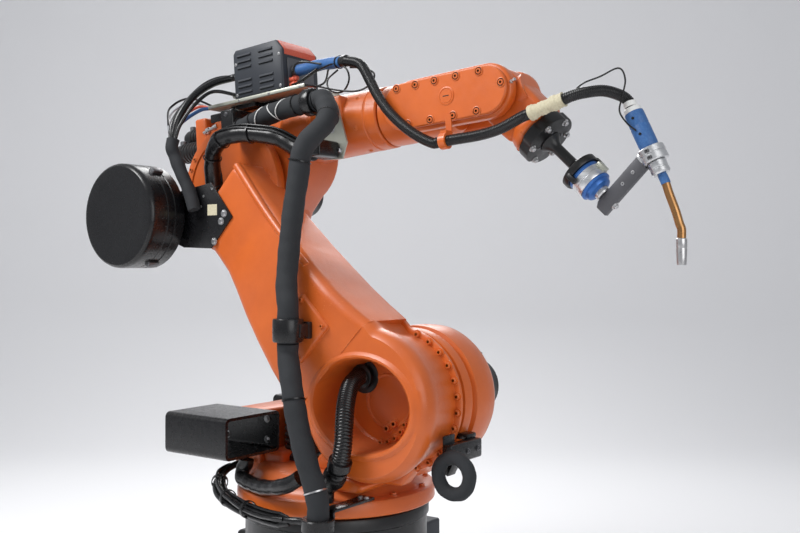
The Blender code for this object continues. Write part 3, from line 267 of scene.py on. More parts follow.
class SharedEffects:
    """Shader node groups that several materials use."""

    def __init__(self) -> None:
        """Builds every group."""
        self.grain = self._grain()
        self.edges = self._edges()
        self.relief = self._relief()
        self.brushing = self._brushing()

    def _grain(self) -> bpy.types.NodeTree:
        """Builds broad and fine variation and small specks, in object space.

        Returns:
            The group.
        """
        group, sketch, enter, leave = new_group(
            "surface_grain", {"Scale": ("Float", 60.0)}, {"Broad": "Float", "Fine": "Float", "Specks": "Float"})
        place = sketch.add("TexCoord").outputs["Object"]
        broad = sketch.add("TexNoise", {"Vector": place, "Scale": 5.0, "Detail": 4.0, "Roughness": 0.6})
        fine = sketch.add("TexNoise", {"Vector": place, "Scale": enter.outputs["Scale"], "Detail": 5.0})
        dots = sketch.add("TexVoronoi", {"Vector": place, "Scale": 120.0, "Randomness": 1.0})
        speck = sketch.ramp(dots.outputs["Distance"], 0.16, 0.07)
        rare = sketch.ramp(broad.outputs[0], 0.52, 0.62)
        sketch.feed(leave.inputs["Broad"], broad.outputs[0])
        sketch.feed(leave.inputs["Fine"], fine.outputs[0])
        sketch.feed(leave.inputs["Specks"], sketch.maths("MULTIPLY", speck, rare))
        return group

    def _edges(self) -> bpy.types.NodeTree:
        """Builds a mask of worn edges.

        Returns:
            The group.
        """
        group, sketch, enter, leave = new_group(
            "worn_edges", {"Radius": ("Float", 0.003), "Amount": ("Float", 0.5)}, {"Mask": "Float"})
        soft = sketch.add("Bevel", {"Radius": enter.outputs["Radius"]}, samples=4)
        true = sketch.add("NewGeometry").outputs["Normal"]
        dot = sketch.add("VectorMath", operation="DOT_PRODUCT")
        sketch.feed(dot.inputs[0], soft.outputs[0])
        sketch.feed(dot.inputs[1], true)
        bend = sketch.ramp(dot.outputs["Value"], 0.985, 0.86)
        place = sketch.add("TexCoord").outputs["Object"]
        noise = sketch.add("TexNoise", {"Vector": place, "Scale": 45.0, "Detail": 6.0, "Roughness": 0.7})
        broken = sketch.ramp(noise.outputs[0], 0.46, 0.6)
        mask = sketch.maths("MULTIPLY", sketch.maths("MULTIPLY", bend, broken), enter.outputs["Amount"])
        sketch.feed(leave.inputs["Mask"], mask)
        return group

    def _relief(self) -> bpy.types.NodeTree:
        """Builds a bumpy normal for cast and sprayed surfaces.

        Returns:
            The group.
        """
        group, sketch, enter, leave = new_group(
            "surface_relief", {"Scale": ("Float", 180.0), "Depth": ("Float", 0.0003), "Wave": ("Float", 0.0006)},
            {"Normal": "Vector"})
        place = sketch.add("TexCoord").outputs["Object"]
        fine = sketch.add("TexNoise", {"Vector": place, "Scale": enter.outputs["Scale"], "Detail": 3.0})
        wave = sketch.add("TexNoise", {"Vector": place, "Scale": 14.0, "Detail": 1.0})
        low = sketch.add("Bump", {"Height": wave.outputs[0], "Distance": enter.outputs["Wave"], "Strength": 1.0})
        top = sketch.add(
            "Bump", {"Height": fine.outputs[0], "Distance": enter.outputs["Depth"], "Strength": 1.0,
             "Normal": low.outputs["Normal"]})
        sketch.feed(leave.inputs["Normal"], top.outputs["Normal"])
        return group

    def _brushing(self) -> bpy.types.NodeTree:
        """Builds fine lines across one direction, as turning and brushing leave them.

        Returns:
            The group.
        """
        group, sketch, enter, leave = new_group(
            "brush_lines", {"Stretch": ("Vector", (700.0, 40.0, 40.0)), "Depth": ("Float", 0.00008)},
            {"Lines": "Float", "Normal": "Vector"})
        place = sketch.add("TexCoord").outputs["Object"]
        scaled = sketch.add("VectorMath", operation="MULTIPLY")
        sketch.feed(scaled.inputs[0], place)
        sketch.feed(scaled.inputs[1], enter.outputs["Stretch"])
        lines = sketch.add("TexNoise", {"Vector": scaled.outputs[0], "Scale": 1.0, "Detail": 3.0})
        bump = sketch.add("Bump", {"Height": lines.outputs[0], "Distance": enter.outputs["Depth"], "Strength": 1.0})
        sketch.feed(leave.inputs["Lines"], lines.outputs[0])
        sketch.feed(leave.inputs["Normal"], bump.outputs["Normal"])
        return group


@dataclass(frozen=True)
class PaintFinish:
    """Sprayed or cast paint with worn edges, dust and small specks."""

    name: str
    colour: Colour
    deep: Colour
    wear: Colour
    roughness: float
    grain: float = 180.0
    depth: float = 0.00022
    wave: float = 0.001
    worn: float = 0.45
    dust: float = 0.12
    coat: float = 0.0
    dust_colour: Colour = (0.42, 0.36, 0.3)

    def build(self, effects: SharedEffects) -> bpy.types.Material:
        """Builds the material.

        Args:
            effects: The shared node groups.

        Returns:
            The material.
        """
        material, sketch, shader = start_material(self.name)
        grain = sketch.add("Group", node_tree=effects.grain)
        edges = sketch.add("Group", {"Amount": self.worn}, node_tree=effects.edges)
        relief = sketch.add(
            "Group", {"Scale": self.grain, "Depth": self.depth, "Wave": self.wave}, node_tree=effects.relief)
        spread = sketch.ramp(grain.outputs["Broad"], 0.35, 0.68)
        base = sketch.mix(sketch.maths("MULTIPLY", spread, 0.55), rgba(self.colour), rgba(self.deep))
        normal = sketch.add("NewGeometry").outputs["Normal"]
        up = sketch.add("SeparateXYZ", {"Vector": normal}).outputs["Z"]
        settled = sketch.maths("MULTIPLY", sketch.ramp(up, 0.3, 1.0), grain.outputs["Broad"])
        dusty = sketch.mix(sketch.maths("MULTIPLY", settled, self.dust * 2.0), base, rgba(self.dust_colour))
        specked = sketch.mix(sketch.maths("MULTIPLY", grain.outputs["Specks"], self.worn), dusty, rgba(self.wear))
        sketch.feed(shader.inputs["Base Color"], sketch.mix(edges.outputs["Mask"], specked, rgba(self.wear)))
        rough = sketch.maths("MULTIPLY_ADD", grain.outputs["Fine"], 0.22, self.roughness - 0.11)
        sketch.feed(
            shader.inputs["Roughness"], sketch.maths("ADD", rough, sketch.maths("MULTIPLY", settled, self.dust)))
        sketch.feed(shader.inputs["Normal"], relief.outputs["Normal"])
        shader.inputs["Coat Weight"].default_value = self.coat
        shader.inputs["Coat Roughness"].default_value = 0.25
        return material


@dataclass(frozen=True)
class MetalFinish:
    """Bare or plated metal with brush lines and darker stains."""

    name: str
    colour: Colour
    stain: Colour
    roughness: float
    stretch: Tuple[float, float, float] = (60.0, 60.0, 60.0)
    depth: float = 0.00006
    metallic: float = 1.0

    def build(self, effects: SharedEffects) -> bpy.types.Material:
        """Builds the material.

        Args:
            effects: The shared node groups.

        Returns:
            The material.
        """
        material, sketch, shader = start_material(self.name)
        grain = sketch.add("Group", node_tree=effects.grain)
        lines = sketch.add("Group", {"Stretch": self.stretch, "Depth": self.depth}, node_tree=effects.brushing)
        stain = sketch.ramp(grain.outputs["Broad"], 0.42, 0.75)
        base = sketch.mix(sketch.maths("MULTIPLY", stain, 0.6), rgba(self.colour), rgba(self.stain))
        lined = sketch.mix(sketch.maths("MULTIPLY", lines.outputs["Lines"], 0.25), base, rgba(self.stain))
        sketch.feed(shader.inputs["Base Color"], lined)
        rough = sketch.maths("MULTIPLY_ADD", lines.outputs["Lines"], 0.3, self.roughness - 0.12)
        sketch.feed(shader.inputs["Roughness"], rough)
        sketch.feed(shader.inputs["Normal"], lines.outputs["Normal"])
        shader.inputs["Metallic"].default_value = self.metallic
        return material


@dataclass(frozen=True)
class PolymerFinish:
    """Rubber, foam, plastic or tape with its grain and scuffs."""

    name: str
    colour: Colour
    scuff: Colour
    roughness: float
    grain: float = 300.0
    depth: float = 0.0002
    wave: float = 0.0004
    scuffs: float = 0.5

    def build(self, effects: SharedEffects) -> bpy.types.Material:
        """Builds the material.

        Args:
            effects: The shared node groups.

        Returns:
            The material.
        """
        material, sketch, shader = start_material(self.name)
        grain = sketch.add("Group", {"Scale": self.grain}, node_tree=effects.grain)
        relief = sketch.add(
            "Group", {"Scale": self.grain, "Depth": self.depth, "Wave": self.wave}, node_tree=effects.relief)
        amount = sketch.maths("MULTIPLY", sketch.ramp(grain.outputs["Fine"], 0.42, 0.75), self.scuffs)
        broad = sketch.maths("MULTIPLY", sketch.ramp(grain.outputs["Broad"], 0.4, 0.7), self.scuffs * 0.5)
        first = sketch.mix(amount, rgba(self.colour), rgba(self.scuff))
        sketch.feed(shader.inputs["Base Color"], sketch.mix(broad, first, rgba(self.scuff)))
        rough = sketch.maths("MULTIPLY_ADD", grain.outputs["Fine"], 0.25, self.roughness - 0.12)
        sketch.feed(shader.inputs["Roughness"], rough)
        sketch.feed(shader.inputs["Normal"], relief.outputs["Normal"])
        return material


def start_material(name: str) -> Tuple[bpy.types.Material, NodeSketch, bpy.types.Node]:
    """Makes a material with its Principled shader.

    Args:
        name: The material's name.

    Returns:
        The material, a sketch of its tree and the shader.
    """
    material = bpy.data.materials.new(name)
    material.use_nodes = True
    shader = material.node_tree.nodes["Principled BSDF"]
    return material, NodeSketch(material.node_tree), shader


class Palette:
    """Every finish of the robot, built once."""

    def __init__(self, effects: SharedEffects) -> None:
        """Builds the materials.

        Args:
            effects: The shared node groups.
        """
        finishes = [
            PaintFinish("cast_orange", (0.64, 0.128, 0.017), (0.46, 0.08, 0.011), (0.8, 0.33, 0.13), 0.36, dust=0.1,
                coat=0.15),
            PaintFinish("cast_black", (0.0045, 0.0045, 0.005), (0.009, 0.009, 0.01), (0.13, 0.13, 0.13), 0.36,
                grain=160.0, depth=0.00012, worn=0.25, dust=0.02),
            PaintFinish("sheet_black", (0.004, 0.004, 0.0048), (0.008, 0.008, 0.009), (0.16, 0.16, 0.16), 0.28,
                grain=420.0, depth=0.00002, wave=0.0001, worn=0.1, dust=0.008),
            PolymerFinish("foam_grey", (0.014, 0.0155, 0.018), (0.034, 0.037, 0.042), 0.82, grain=520.0, depth=0.0006,
                wave=0.004, scuffs=0.55),
            PolymerFinish("rubber_black", (0.0035, 0.0035, 0.004), (0.012, 0.012, 0.013), 0.27, grain=600.0,
                depth=0.00002, wave=0.0001, scuffs=0.3),
            PolymerFinish("box_grey", (0.022, 0.026, 0.034), (0.04, 0.046, 0.056), 0.5, grain=700.0, depth=0.00012,
                scuffs=0.4),
            PolymerFinish("wrap_blue", (0.028, 0.105, 0.3), (0.07, 0.2, 0.43), 0.45, grain=260.0, depth=0.0002),
            PolymerFinish("tape_cream", (0.6, 0.55, 0.39), (0.44, 0.38, 0.25), 0.7, grain=240.0, depth=0.0004,
                wave=0.002),
            PolymerFinish("tie_white", (0.8, 0.8, 0.78), (0.62, 0.62, 0.6), 0.45),
            PolymerFinish("plug_red", (0.6, 0.07, 0.03), (0.72, 0.2, 0.12), 0.4),
            PolymerFinish("cable_grey", (0.3, 0.31, 0.33), (0.42, 0.43, 0.45), 0.5),
            MetalFinish("steel_bright", (0.66, 0.66, 0.67), (0.34, 0.33, 0.32), 0.28),
            MetalFinish("steel_dark", (0.2, 0.2, 0.21), (0.09, 0.09, 0.09), 0.42),
            MetalFinish("aluminium_turned", (0.78, 0.79, 0.8), (0.48, 0.48, 0.48), 0.3, (40.0, 40.0, 900.0)),
            MetalFinish("bar_grey", (0.115, 0.115, 0.125), (0.065, 0.065, 0.07), 0.42, (260.0, 20.0, 260.0),
                metallic=0.6),
            MetalFinish("zinc_pale", (0.52, 0.53, 0.46), (0.36, 0.36, 0.29), 0.36, metallic=0.7),
            MetalFinish("blue_anodised", (0.045, 0.16, 0.48), (0.02, 0.08, 0.28), 0.32, metallic=0.45),
            MetalFinish("bronze_neck", (0.5, 0.27, 0.11), (0.3, 0.14, 0.06), 0.26)]
        self.materials: Dict[str, bpy.types.Material] = {f.name: f.build(effects) for f in finishes}

    def __getitem__(self, name: str) -> bpy.types.Material:
        """Finds a material.

        Args:
            name: Its name.

        Returns:
            The material.
        """
        return self.materials[name]


def ring_frame(direction: Vector) -> Tuple[Vector, Vector]:
    """Finds two directions across another.

    Args:
        direction: The direction.

    Returns:
        Two unit vectors at right angles to it and to each other.
    """
    helper = Vector((0.0, 0.0, 1.0)) if abs(direction.z) < 0.9 else Vector((1.0, 0.0, 0.0))
    side = direction.cross(helper).normalized()
    return side, side.cross(direction).normalized()


def route_length(route: Sequence[Vector]) -> float:
    """Measures a route.

    Args:
        route: The route's points.

    Returns:
        Its length.
    """
    return sum((q - p).length for p, q in zip(route, route[1:]))


def smooth_route(points: Sequence[Point], spacing: float) -> List[Vector]:
    """Finds points at even steps along a smooth curve.

    Args:
        points: The points that the curve passes.
        spacing: The wished step.

    Returns:
        The route.
    """
    knots = [Vector(p) for p in points]
    knots = [2.0 * knots[0] - knots[1], *knots, 2.0 * knots[-1] - knots[-2]]
    fine: List[Vector] = []
    for i in range(1, len(knots) - 2):
        a, b, c, d = knots[i - 1:i + 3]
        for k in range(CURVE_STEPS):
            t = k / CURVE_STEPS
            fine.append(
                0.5 * ((2.0 * b) + (c - a) * t + (2.0 * a - 5.0 * b + 4.0 * c - d) * t * t
                 + (3.0 * b - a - 3.0 * c + d) * t * t * t))
    fine.append(knots[-2])
    length = route_length(fine)
    count = max(3, round(length / spacing))
    route = [fine[0]]
    walked = 0.0
    for p, q in zip(fine, fine[1:]):
        step = (q - p).length
        while walked + step >= length * len(route) / count and len(route) < count:
            route.append(p.lerp(q, (length * len(route) / count - walked) / step))
        walked += step
    return [*route, fine[-1]]


class Shape:
    """A mesh that is drawn in one frame, in several finishes."""

    def __init__(self, name: str, place: Place, palette: Palette) -> None:
        """Starts an empty shape.

        Args:
            name: The piece's name.
            place: The frame that it is drawn in.
            palette: The materials.
        """
        self.name = name
        self.place = place
        self.palette = palette
        self.mesh = bmesh.new()
        self.finishes: List[str] = []
        self.index = 0

    def use(self, finish: str) -> "Shape":
        """Chooses the finish of what is drawn next.

        Args:
            finish: The material's name.

        Returns:
            The shape.
        """
        if finish not in self.finishes:
            self.finishes.append(finish)
        self.index = self.finishes.index(finish)
        return self

    def _faces(self, made: Iterable[bmesh.types.BMFace]) -> None:
        """Gives new faces the finish in use.

        Args:
            made: The faces.
        """
        for face in made:
            face.material_index = self.index

    def lathe(
            self, profile: Profile, origin: Point, axis: Union[Axis, Vector], steps: int = 48,
            squeeze: Optional[Callable[[float, float], float]] = None, closed: bool = False) -> None:
        """Turns a profile about an axis. A flat disc closes an end that isn't on the axis.

        Args:
            profile: Radius and distance along the axis, in order.
            origin: The axis's point.
            axis: The axis's direction, an Axis or a vector.
            steps: Steps round.
            squeeze: Gives the factor of a radius at an angle, for oval shapes.
            closed: Joins the profile's last point to its first.
        """
        start = Vector(origin)
        along = Vector(axis.value) if isinstance(axis, Axis) else Vector(axis).normalized()
        side, up = ring_frame(along)
        outline = list(profile)
        if not closed and outline[0][0] > MERGE:
            outline.insert(0, (0.0, outline[0][1]))
        if not closed and outline[-1][0] > MERGE:
            outline.append((0.0, outline[-1][1]))
        part = bmesh.new()
        verts = [part.verts.new(start + along * height + side * radius) for radius, height in outline]
        edges = [part.edges.new(pair) for pair in zip(verts, verts[1:])]
        if closed:
            edges.append(part.edges.new((verts[-1], verts[0])))
        bmesh.ops.spin(part, geom=[*verts, *edges], cent=start, axis=along, angle=math.tau, steps=steps, use_merge=True)
        bmesh.ops.remove_doubles(part, verts=part.verts, dist=MERGE)
        for vert in part.verts if squeeze else ():
            offset = vert.co - start
            x, y = offset.dot(side), offset.dot(up)
            if math.hypot(x, y) > MERGE:
                factor = squeeze(math.atan2(y, x), math.hypot(x, y))
                vert.co = start + along * offset.dot(along) + (side * x + up * y) * factor
        self._faces(part.faces)
        data = bpy.data.meshes.new("turned")
        part.to_mesh(data)
        part.free()
        self.mesh.from_mesh(data)
        bpy.data.meshes.remove(data)

    def _bridge(self, low: List[bmesh.types.BMVert], high: List[bmesh.types.BMVert]) -> None:
        """Joins two rings of as many points by faces.

        Args:
            low: The first ring.
            high: The second ring.
        """
        for k, corner in enumerate(low):
            n = (k + 1) % len(low)
            self.mesh.faces.new((corner, low[n], high[n], high[k])).material_index = self.index

    def sweep(self, route: Sequence[Vector], radius: Callable[[float], float], sides: int = 16) -> "Shape":
        """Sweeps a circle along a route.

        Args:
            route: The route's points.
            radius: Gives the radius at a distance along the route.
            sides: Sides of the circle.

        Returns:
            The shape.
        """
        directions = [(q - p).normalized() for p, q in zip(route, route[1:])]
        side = ring_frame(directions[0])[0]
        walked = 0.0
        rings = []
        for i, point in enumerate(route):
            along = (directions[min(i, len(directions) - 1)] + directions[max(i - 1, 0)]).normalized()
            side = (side - along * side.dot(along)).normalized()
            up = side.cross(along).normalized()
            walked += (point - route[max(i - 1, 0)]).length
            reach = radius(walked)
            turns = (math.tau * k / sides for k in range(sides))
            rings.append([point + (side * math.cos(a) + up * math.sin(a)) * reach for a in turns])
        return self.loft(rings)

    def block(self, low: Point, high: Point, edge: float = 0.002, segments: int = 2) -> None:
        """Draws a box with rounded edges.

        Args:
            low: Its lowest corner.
            high: Its highest corner.
            edge: The rounding's width.
            segments: Steps of the rounding.
        """
        made = bmesh.ops.create_cube(self.mesh, size=1.0)["verts"]
        size = Vector(high) - Vector(low)
        middle = (Vector(high) + Vector(low)) / 2.0
        for vert in made:
            vert.co = Vector((vert.co.x * size.x, vert.co.y * size.y, vert.co.z * size.z)) + middle
        self._faces({f for v in made for f in v.link_faces})
        self._round(made, edge, segments)

    def plate(
            self, outline: Sequence[Tuple[float, float]], near: float, far: float, edge: float = 0.002,
            segments: int = 2) -> None:
        """Draws a flat plate across the frame's Y direction.

        Args:
            outline: X and Z of its corners.
            near: Y of its near face.
            far: Y of its far face.
            edge: The rounding's width.
            segments: Steps of the rounding.
        """
        front = [self.mesh.verts.new((x, near, z)) for x, z in outline]
        back = [self.mesh.verts.new((x, far, z)) for x, z in outline]
        made = [self.mesh.faces.new(front), self.mesh.faces.new(list(reversed(back)))]
        count = len(outline)
        made += [
            self.mesh.faces.new((front[k], back[k], back[(k + 1) % count], front[(k + 1) % count]))
            for k in range(count)]
        self._faces(made)
        self._round(front + back, edge, segments, sharp=30.0)

    def _round(self, verts: Sequence[bmesh.types.BMVert], width: float, segments: int, sharp: float = 20.0) -> None:
        """Rounds the sharp edges between some points.

        Args:
            verts: The points.
            width: The rounding's width.
            segments: Its steps.
            sharp: The least angle of an edge that is rounded, in degrees.
        """
        self.mesh.normal_update()
        edges = dict.fromkeys(e for v in verts for e in v.link_edges)
        chosen = [e for e in edges if len(e.link_faces) == 2 and e.calc_face_angle(0.0) > math.radians(sharp)]
        bmesh.ops.bevel(
            self.mesh, geom=chosen, offset=width, offset_type="OFFSET", segments=segments, profile=0.5, affect="EDGES",
            clamp_overlap=True, material=-1)

    def loft(self, sections: Sequence[Sequence[Point]], capped: bool = True) -> "Shape":
        """Joins rings of as many points each.

        Args:
            sections: The rings.
            capped: Closes both ends.

        Returns:
            The shape.
        """
        rings = [[self.mesh.verts.new(p) for p in section] for section in sections]
        for low, high in zip(rings, rings[1:]):
            self._bridge(low, high)
        if capped:
            for ring in (rings[0], rings[-1]):
                self.mesh.faces.new(ring).material_index = self.index
        return self

    def screw(self, spot: Point, axis: Union[Axis, Vector], radius: float = 0.006, height: float = 0.006) -> None:
        """Draws a socket head screw on a washer.

        Args:
            spot: The seat's point.
            axis: The direction that its head looks in.
            radius: The head's radius.
            height: The head's height.
        """
        hole = radius * 0.5
        self.lathe([(radius * 1.55, -0.001), (radius * 1.55, 0.0012), (radius * 1.05, 0.0014)], spot, axis, 20)
        self.lathe(
            [(radius, -0.001), (radius, height - radius * 0.18), (radius * 0.86, height), (hole * 1.06, height)], spot,
            axis, 20)
        self.lathe(
            [(hole * 1.06, height), (hole, height - 0.0006), (hole, height * 0.45), (0.0, height * 0.4)], spot, axis, 6)

    def hexagon(self, spot: Point, axis: Axis, radius: float = 0.007, height: float = 0.006) -> None:
        """Draws a hexagon bolt head with its washer.

        Args:
            spot: The seat's point.
            axis: The direction that its head looks in.
            radius: The head's corner radius.
            height: The head's height.
        """
        self.lathe([(radius * 1.35, -0.001), (radius * 1.35, 0.0014), (0.0, 0.0015)], spot, axis, 20)
        self.lathe([(radius, 0.001), (radius, height * 0.85), (radius * 0.84, height)], spot, axis, 6)

    def band(self, centre: Vector, direction: Vector, radius: float, width: float, thickness: float) -> None:
        """Draws a narrow ring round a hose.

        Args:
            centre: The ring's centre.
            direction: The hose's direction there.
            radius: The hose's radius.
            width: The ring's width.
            thickness: The ring's thickness.
        """
        profile = [
            (radius - 0.001, -width / 2.0), (radius + thickness, -width / 2.0 + thickness * 0.3),
            (radius + thickness, width / 2.0 - thickness * 0.3), (radius - 0.001, width / 2.0)]
        self.lathe(profile, centre, direction, 24, closed=True)

    def finish(self, body: str, slot: str, replaces: Sequence[str] = (), smooth: float = 32.0) -> bpy.types.Object:
        """Makes the piece: its object stays at the origin, with its place in its mesh.

        Args:
            body: The body that it rides on.
            slot: Not used.
            replaces: The CAD nodes that it stands for.
            smooth: Edges sharper than this angle stay sharp, in degrees.

        Returns:
            The piece.
        """
        bmesh.ops.transform(self.mesh, matrix=self.place.matrix(), verts=self.mesh.verts)
        bmesh.ops.recalc_face_normals(self.mesh, faces=self.mesh.faces)
        self.mesh.normal_update()
        for face in self.mesh.faces:
            face.smooth = True
        for edge in self.mesh.edges:
            edge.smooth = len(edge.link_faces) != 2 or edge.calc_face_angle(0.0) < math.radians(smooth)
        data = bpy.data.meshes.new(self.name)
        self.mesh.to_mesh(data)
        self.mesh.free()
        piece = bpy.data.objects.new(self.name, data)
        bpy.context.scene.collection.objects.link(piece)
        for finish in self.finishes:
            data.materials.append(self.palette[finish])
        if body:
            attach(piece, body)
        if replaces:
            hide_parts(*replaces)
        LOG.info("%s: %d faces on %s", self.name, len(data.polygons), body)
        return piece


def arc(centre: Tuple[float, float], radius: float, start: float, sweep: float, steps: int) -> List[
        Tuple[float, float]]:
    """Finds points along a circular arc, with both ends.

    Args:
        centre: The arc's centre.
        radius: Its radius.
        start: The first point's angle in degrees.
        sweep: The angle that it covers, in degrees.
        steps: How many steps.

    Returns:
        The points.
    """
    angles = (math.radians(start + sweep * k / steps) for k in range(steps + 1))
    return [(centre[0] + radius * math.cos(a), centre[1] + radius * math.sin(a)) for a in angles]


def polar(radius: float, angle: float) -> Tuple[float, float]:
    """Finds a point on a circle about the origin.

    Args:
        radius: The circle's radius.
        angle: The point's angle in degrees.

    Returns:
        The point.
    """
    return arc((0.0, 0.0), radius, angle, 0.0, 1)[0]


def circle_spots(centre: Point, radius: float, count: int, start: float = 0.0, plane: str = "XZ") -> List[Point]:
    """Finds even points on a circle.

    Args:
        centre: The circle's centre.
        radius: Its radius.
        count: How many points.
        start: The first point's angle in degrees.
        plane: "XZ" or "YZ".

    Returns:
        The points.
    """
    x, y, z = centre
    spots = arc((0.0, 0.0), radius, start, 360.0, count)[:-1]
    return [(x + a, y, z + b) if plane == "XZ" else (x, y + a, z + b) for a, b in spots]


def fins(count: int, start: float, pitch: float, low: float, high: float, form: Tuple[float, float, float]) -> Profile:
    """Draws the cooling fins in a motor's profile.

    Args:
        count: How many fins.
        start: Where the first groove starts.
        pitch: The distance from fin to fin.
        low: The grooves' radius.
        high: The fins' radius.
        form: Where a groove ends, its fin starts and ends, from the groove's start.

    Returns:
        The profile's points.
    """
    places = (start + pitch * k for k in range(count))
    return [point for y in places for point in ((low, y), (low, y + form[0]), (high, y + form[1]), (high, y + form[2]))]


def stadium(x_back: float, x_front: float, radius: float, steps: int) -> List[Tuple[float, float]]:
    """Finds a slot outline along X.

    Args:
        x_back: Its rear end.
        x_front: Its front end.
        radius: Its half height.
        steps: Steps of each end.

    Returns:
        The outline.
    """
    return (
        arc((x_front - radius, 0.0), radius, -90.0, 180.0, steps)
        + arc((x_back + radius, 0.0), radius, 90.0, 180.0, steps))


@dataclass
class Assembly(ABC):
    """A sub-assembly of the robot, drawn over its CAD nodes."""

    palette: Palette
    nodes: Dict[str, bpy.types.Object]

    @abstractmethod
    def build(self) -> None:
        """Builds and dresses the sub-assembly."""

    def shape(self, name: str, place: Place, finish: str) -> Shape:
        """Starts a piece.

        Args:
            name: The piece's name.
            place: The frame that it is drawn in.
            finish: Its first material's name.

        Returns:
            The empty shape.
        """
        return Shape(name, place, self.palette).use(finish)

    def paint(self, node: str, finish: str) -> None:
        """Gives a CAD node that shows as it is its material.

        Args:
            node: The node's name.
            finish: The material's name.
        """
        materials = self.nodes[node].data.materials
        materials.clear()
        materials.append(self.palette[finish])


@dataclass
class BaseAssembly(Assembly):
    """Black base frame with its feet, the slewing ring and the connector box."""

    radius: float = 0.268
    height: float = 0.501
    foot: float = 0.6
    pad: float = 0.14
    thickness: float = 0.045
    web_start: float = 0.15
    web_share: float = 0.72
    rib_radius: float = 0.255
    rib_width: float = 0.06

    def build(self) -> None:
        """Builds and dresses the base."""
        shape = self.shape("base_casting", Place.WORLD, "cast_black")
        r, h = self.radius, self.height
        shape.lathe(
            [(0.21, h), (r - 0.012, h), (r - 0.004, h - 0.004), (r, h - 0.012), (r, h - 0.035), (r - 0.006, h - 0.04),
             (r - 0.006, 0.16), (r, 0.13), (r + 0.006, 0.07), (r + 0.02, 0.035), (r + 0.02, 0.0)], ORIGIN, Axis.UP, 72)
        half = self.foot / 2.0
        for sx in (-1.0, 1.0):
            for sy in (-1.0, 1.0):
                x0, x1 = sorted((sx * (half - self.pad), sx * half))
                y0, y1 = sorted((sy * (half - self.pad), sy * half))
                shape.block((x0, y0, 0.0), (x1, y1, self.thickness), 0.006, 3)
                reach, middle = sx * half * self.web_share, sy * half * self.web_share
                x0, x1 = sorted((sx * self.web_start, reach))
                shape.block((x0, middle - 0.012, 0.02), (x1, middle + 0.012, 0.1), 0.004)
        shape.use("steel_dark")
        for sx in (-1.0, 1.0):
            for sy in (-1.0, 1.0):
                for dx, dy in ((0.035, 0.035), (0.035, 0.1), (0.1, 0.035)):
                    shape.hexagon((sx * (half - dx), sy * (half - dy), self.thickness), Axis.UP, 0.015, 0.013)
        shape.use("cast_black")
        for angle in (-150.0, -90.0, -30.0, 90.0):
            x, y = polar(self.rib_radius, angle)
            w = self.rib_width / 2.0
            shape.block((x - w, y - w, 0.12), (x + w, y + w, 0.4), 0.012, 3)
        shape.finish("base", "black_paint", ["base_frame"])
        self.paint("slewing_ring", "steel_bright")
        box = self.shape("connector_panel", Place.WORLD, "box_grey")
        low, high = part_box("connector_box")
        box.block(tuple(low), tuple(high), 0.008, 3)
        box.use("sheet_black").block(
            (low[0] + 0.012, high[1] - 0.002, low[2] + 0.012), (high[0] - 0.012, high[1] + 0.004, high[2] - 0.012),
            0.003)
        for dx, dz, size in (
                (0.05, 0.19, 0.024), (0.13, 0.19, 0.024), (0.05, 0.11, 0.018), (0.13, 0.11, 0.018),
                (0.09, 0.055, 0.014)):
            spot = (low[0] + dx, high[1] + 0.003, low[2] + dz)
            box.use("steel_dark").lathe(
                [(size, 0.0), (size, 0.006), (size * 0.8, 0.009), (size * 0.8, 0.004)], spot, Axis.FAR, 28)
            box.use("rubber_black").lathe(
                [(size * 0.7, 0.002), (size * 0.7, 0.0065), (0.0, 0.0075)], spot, Axis.FAR, 24)
        box.use("steel_bright")
        for x in (low[0] + 0.02, high[0] - 0.02):
            for z in (low[2] + 0.02, high[2] - 0.02):
                box.screw((x, high[1] + 0.003, z), Axis.FAR, 0.004, 0.004)
        box.finish("base", "dark_grey_plastic", ["connector_box"])


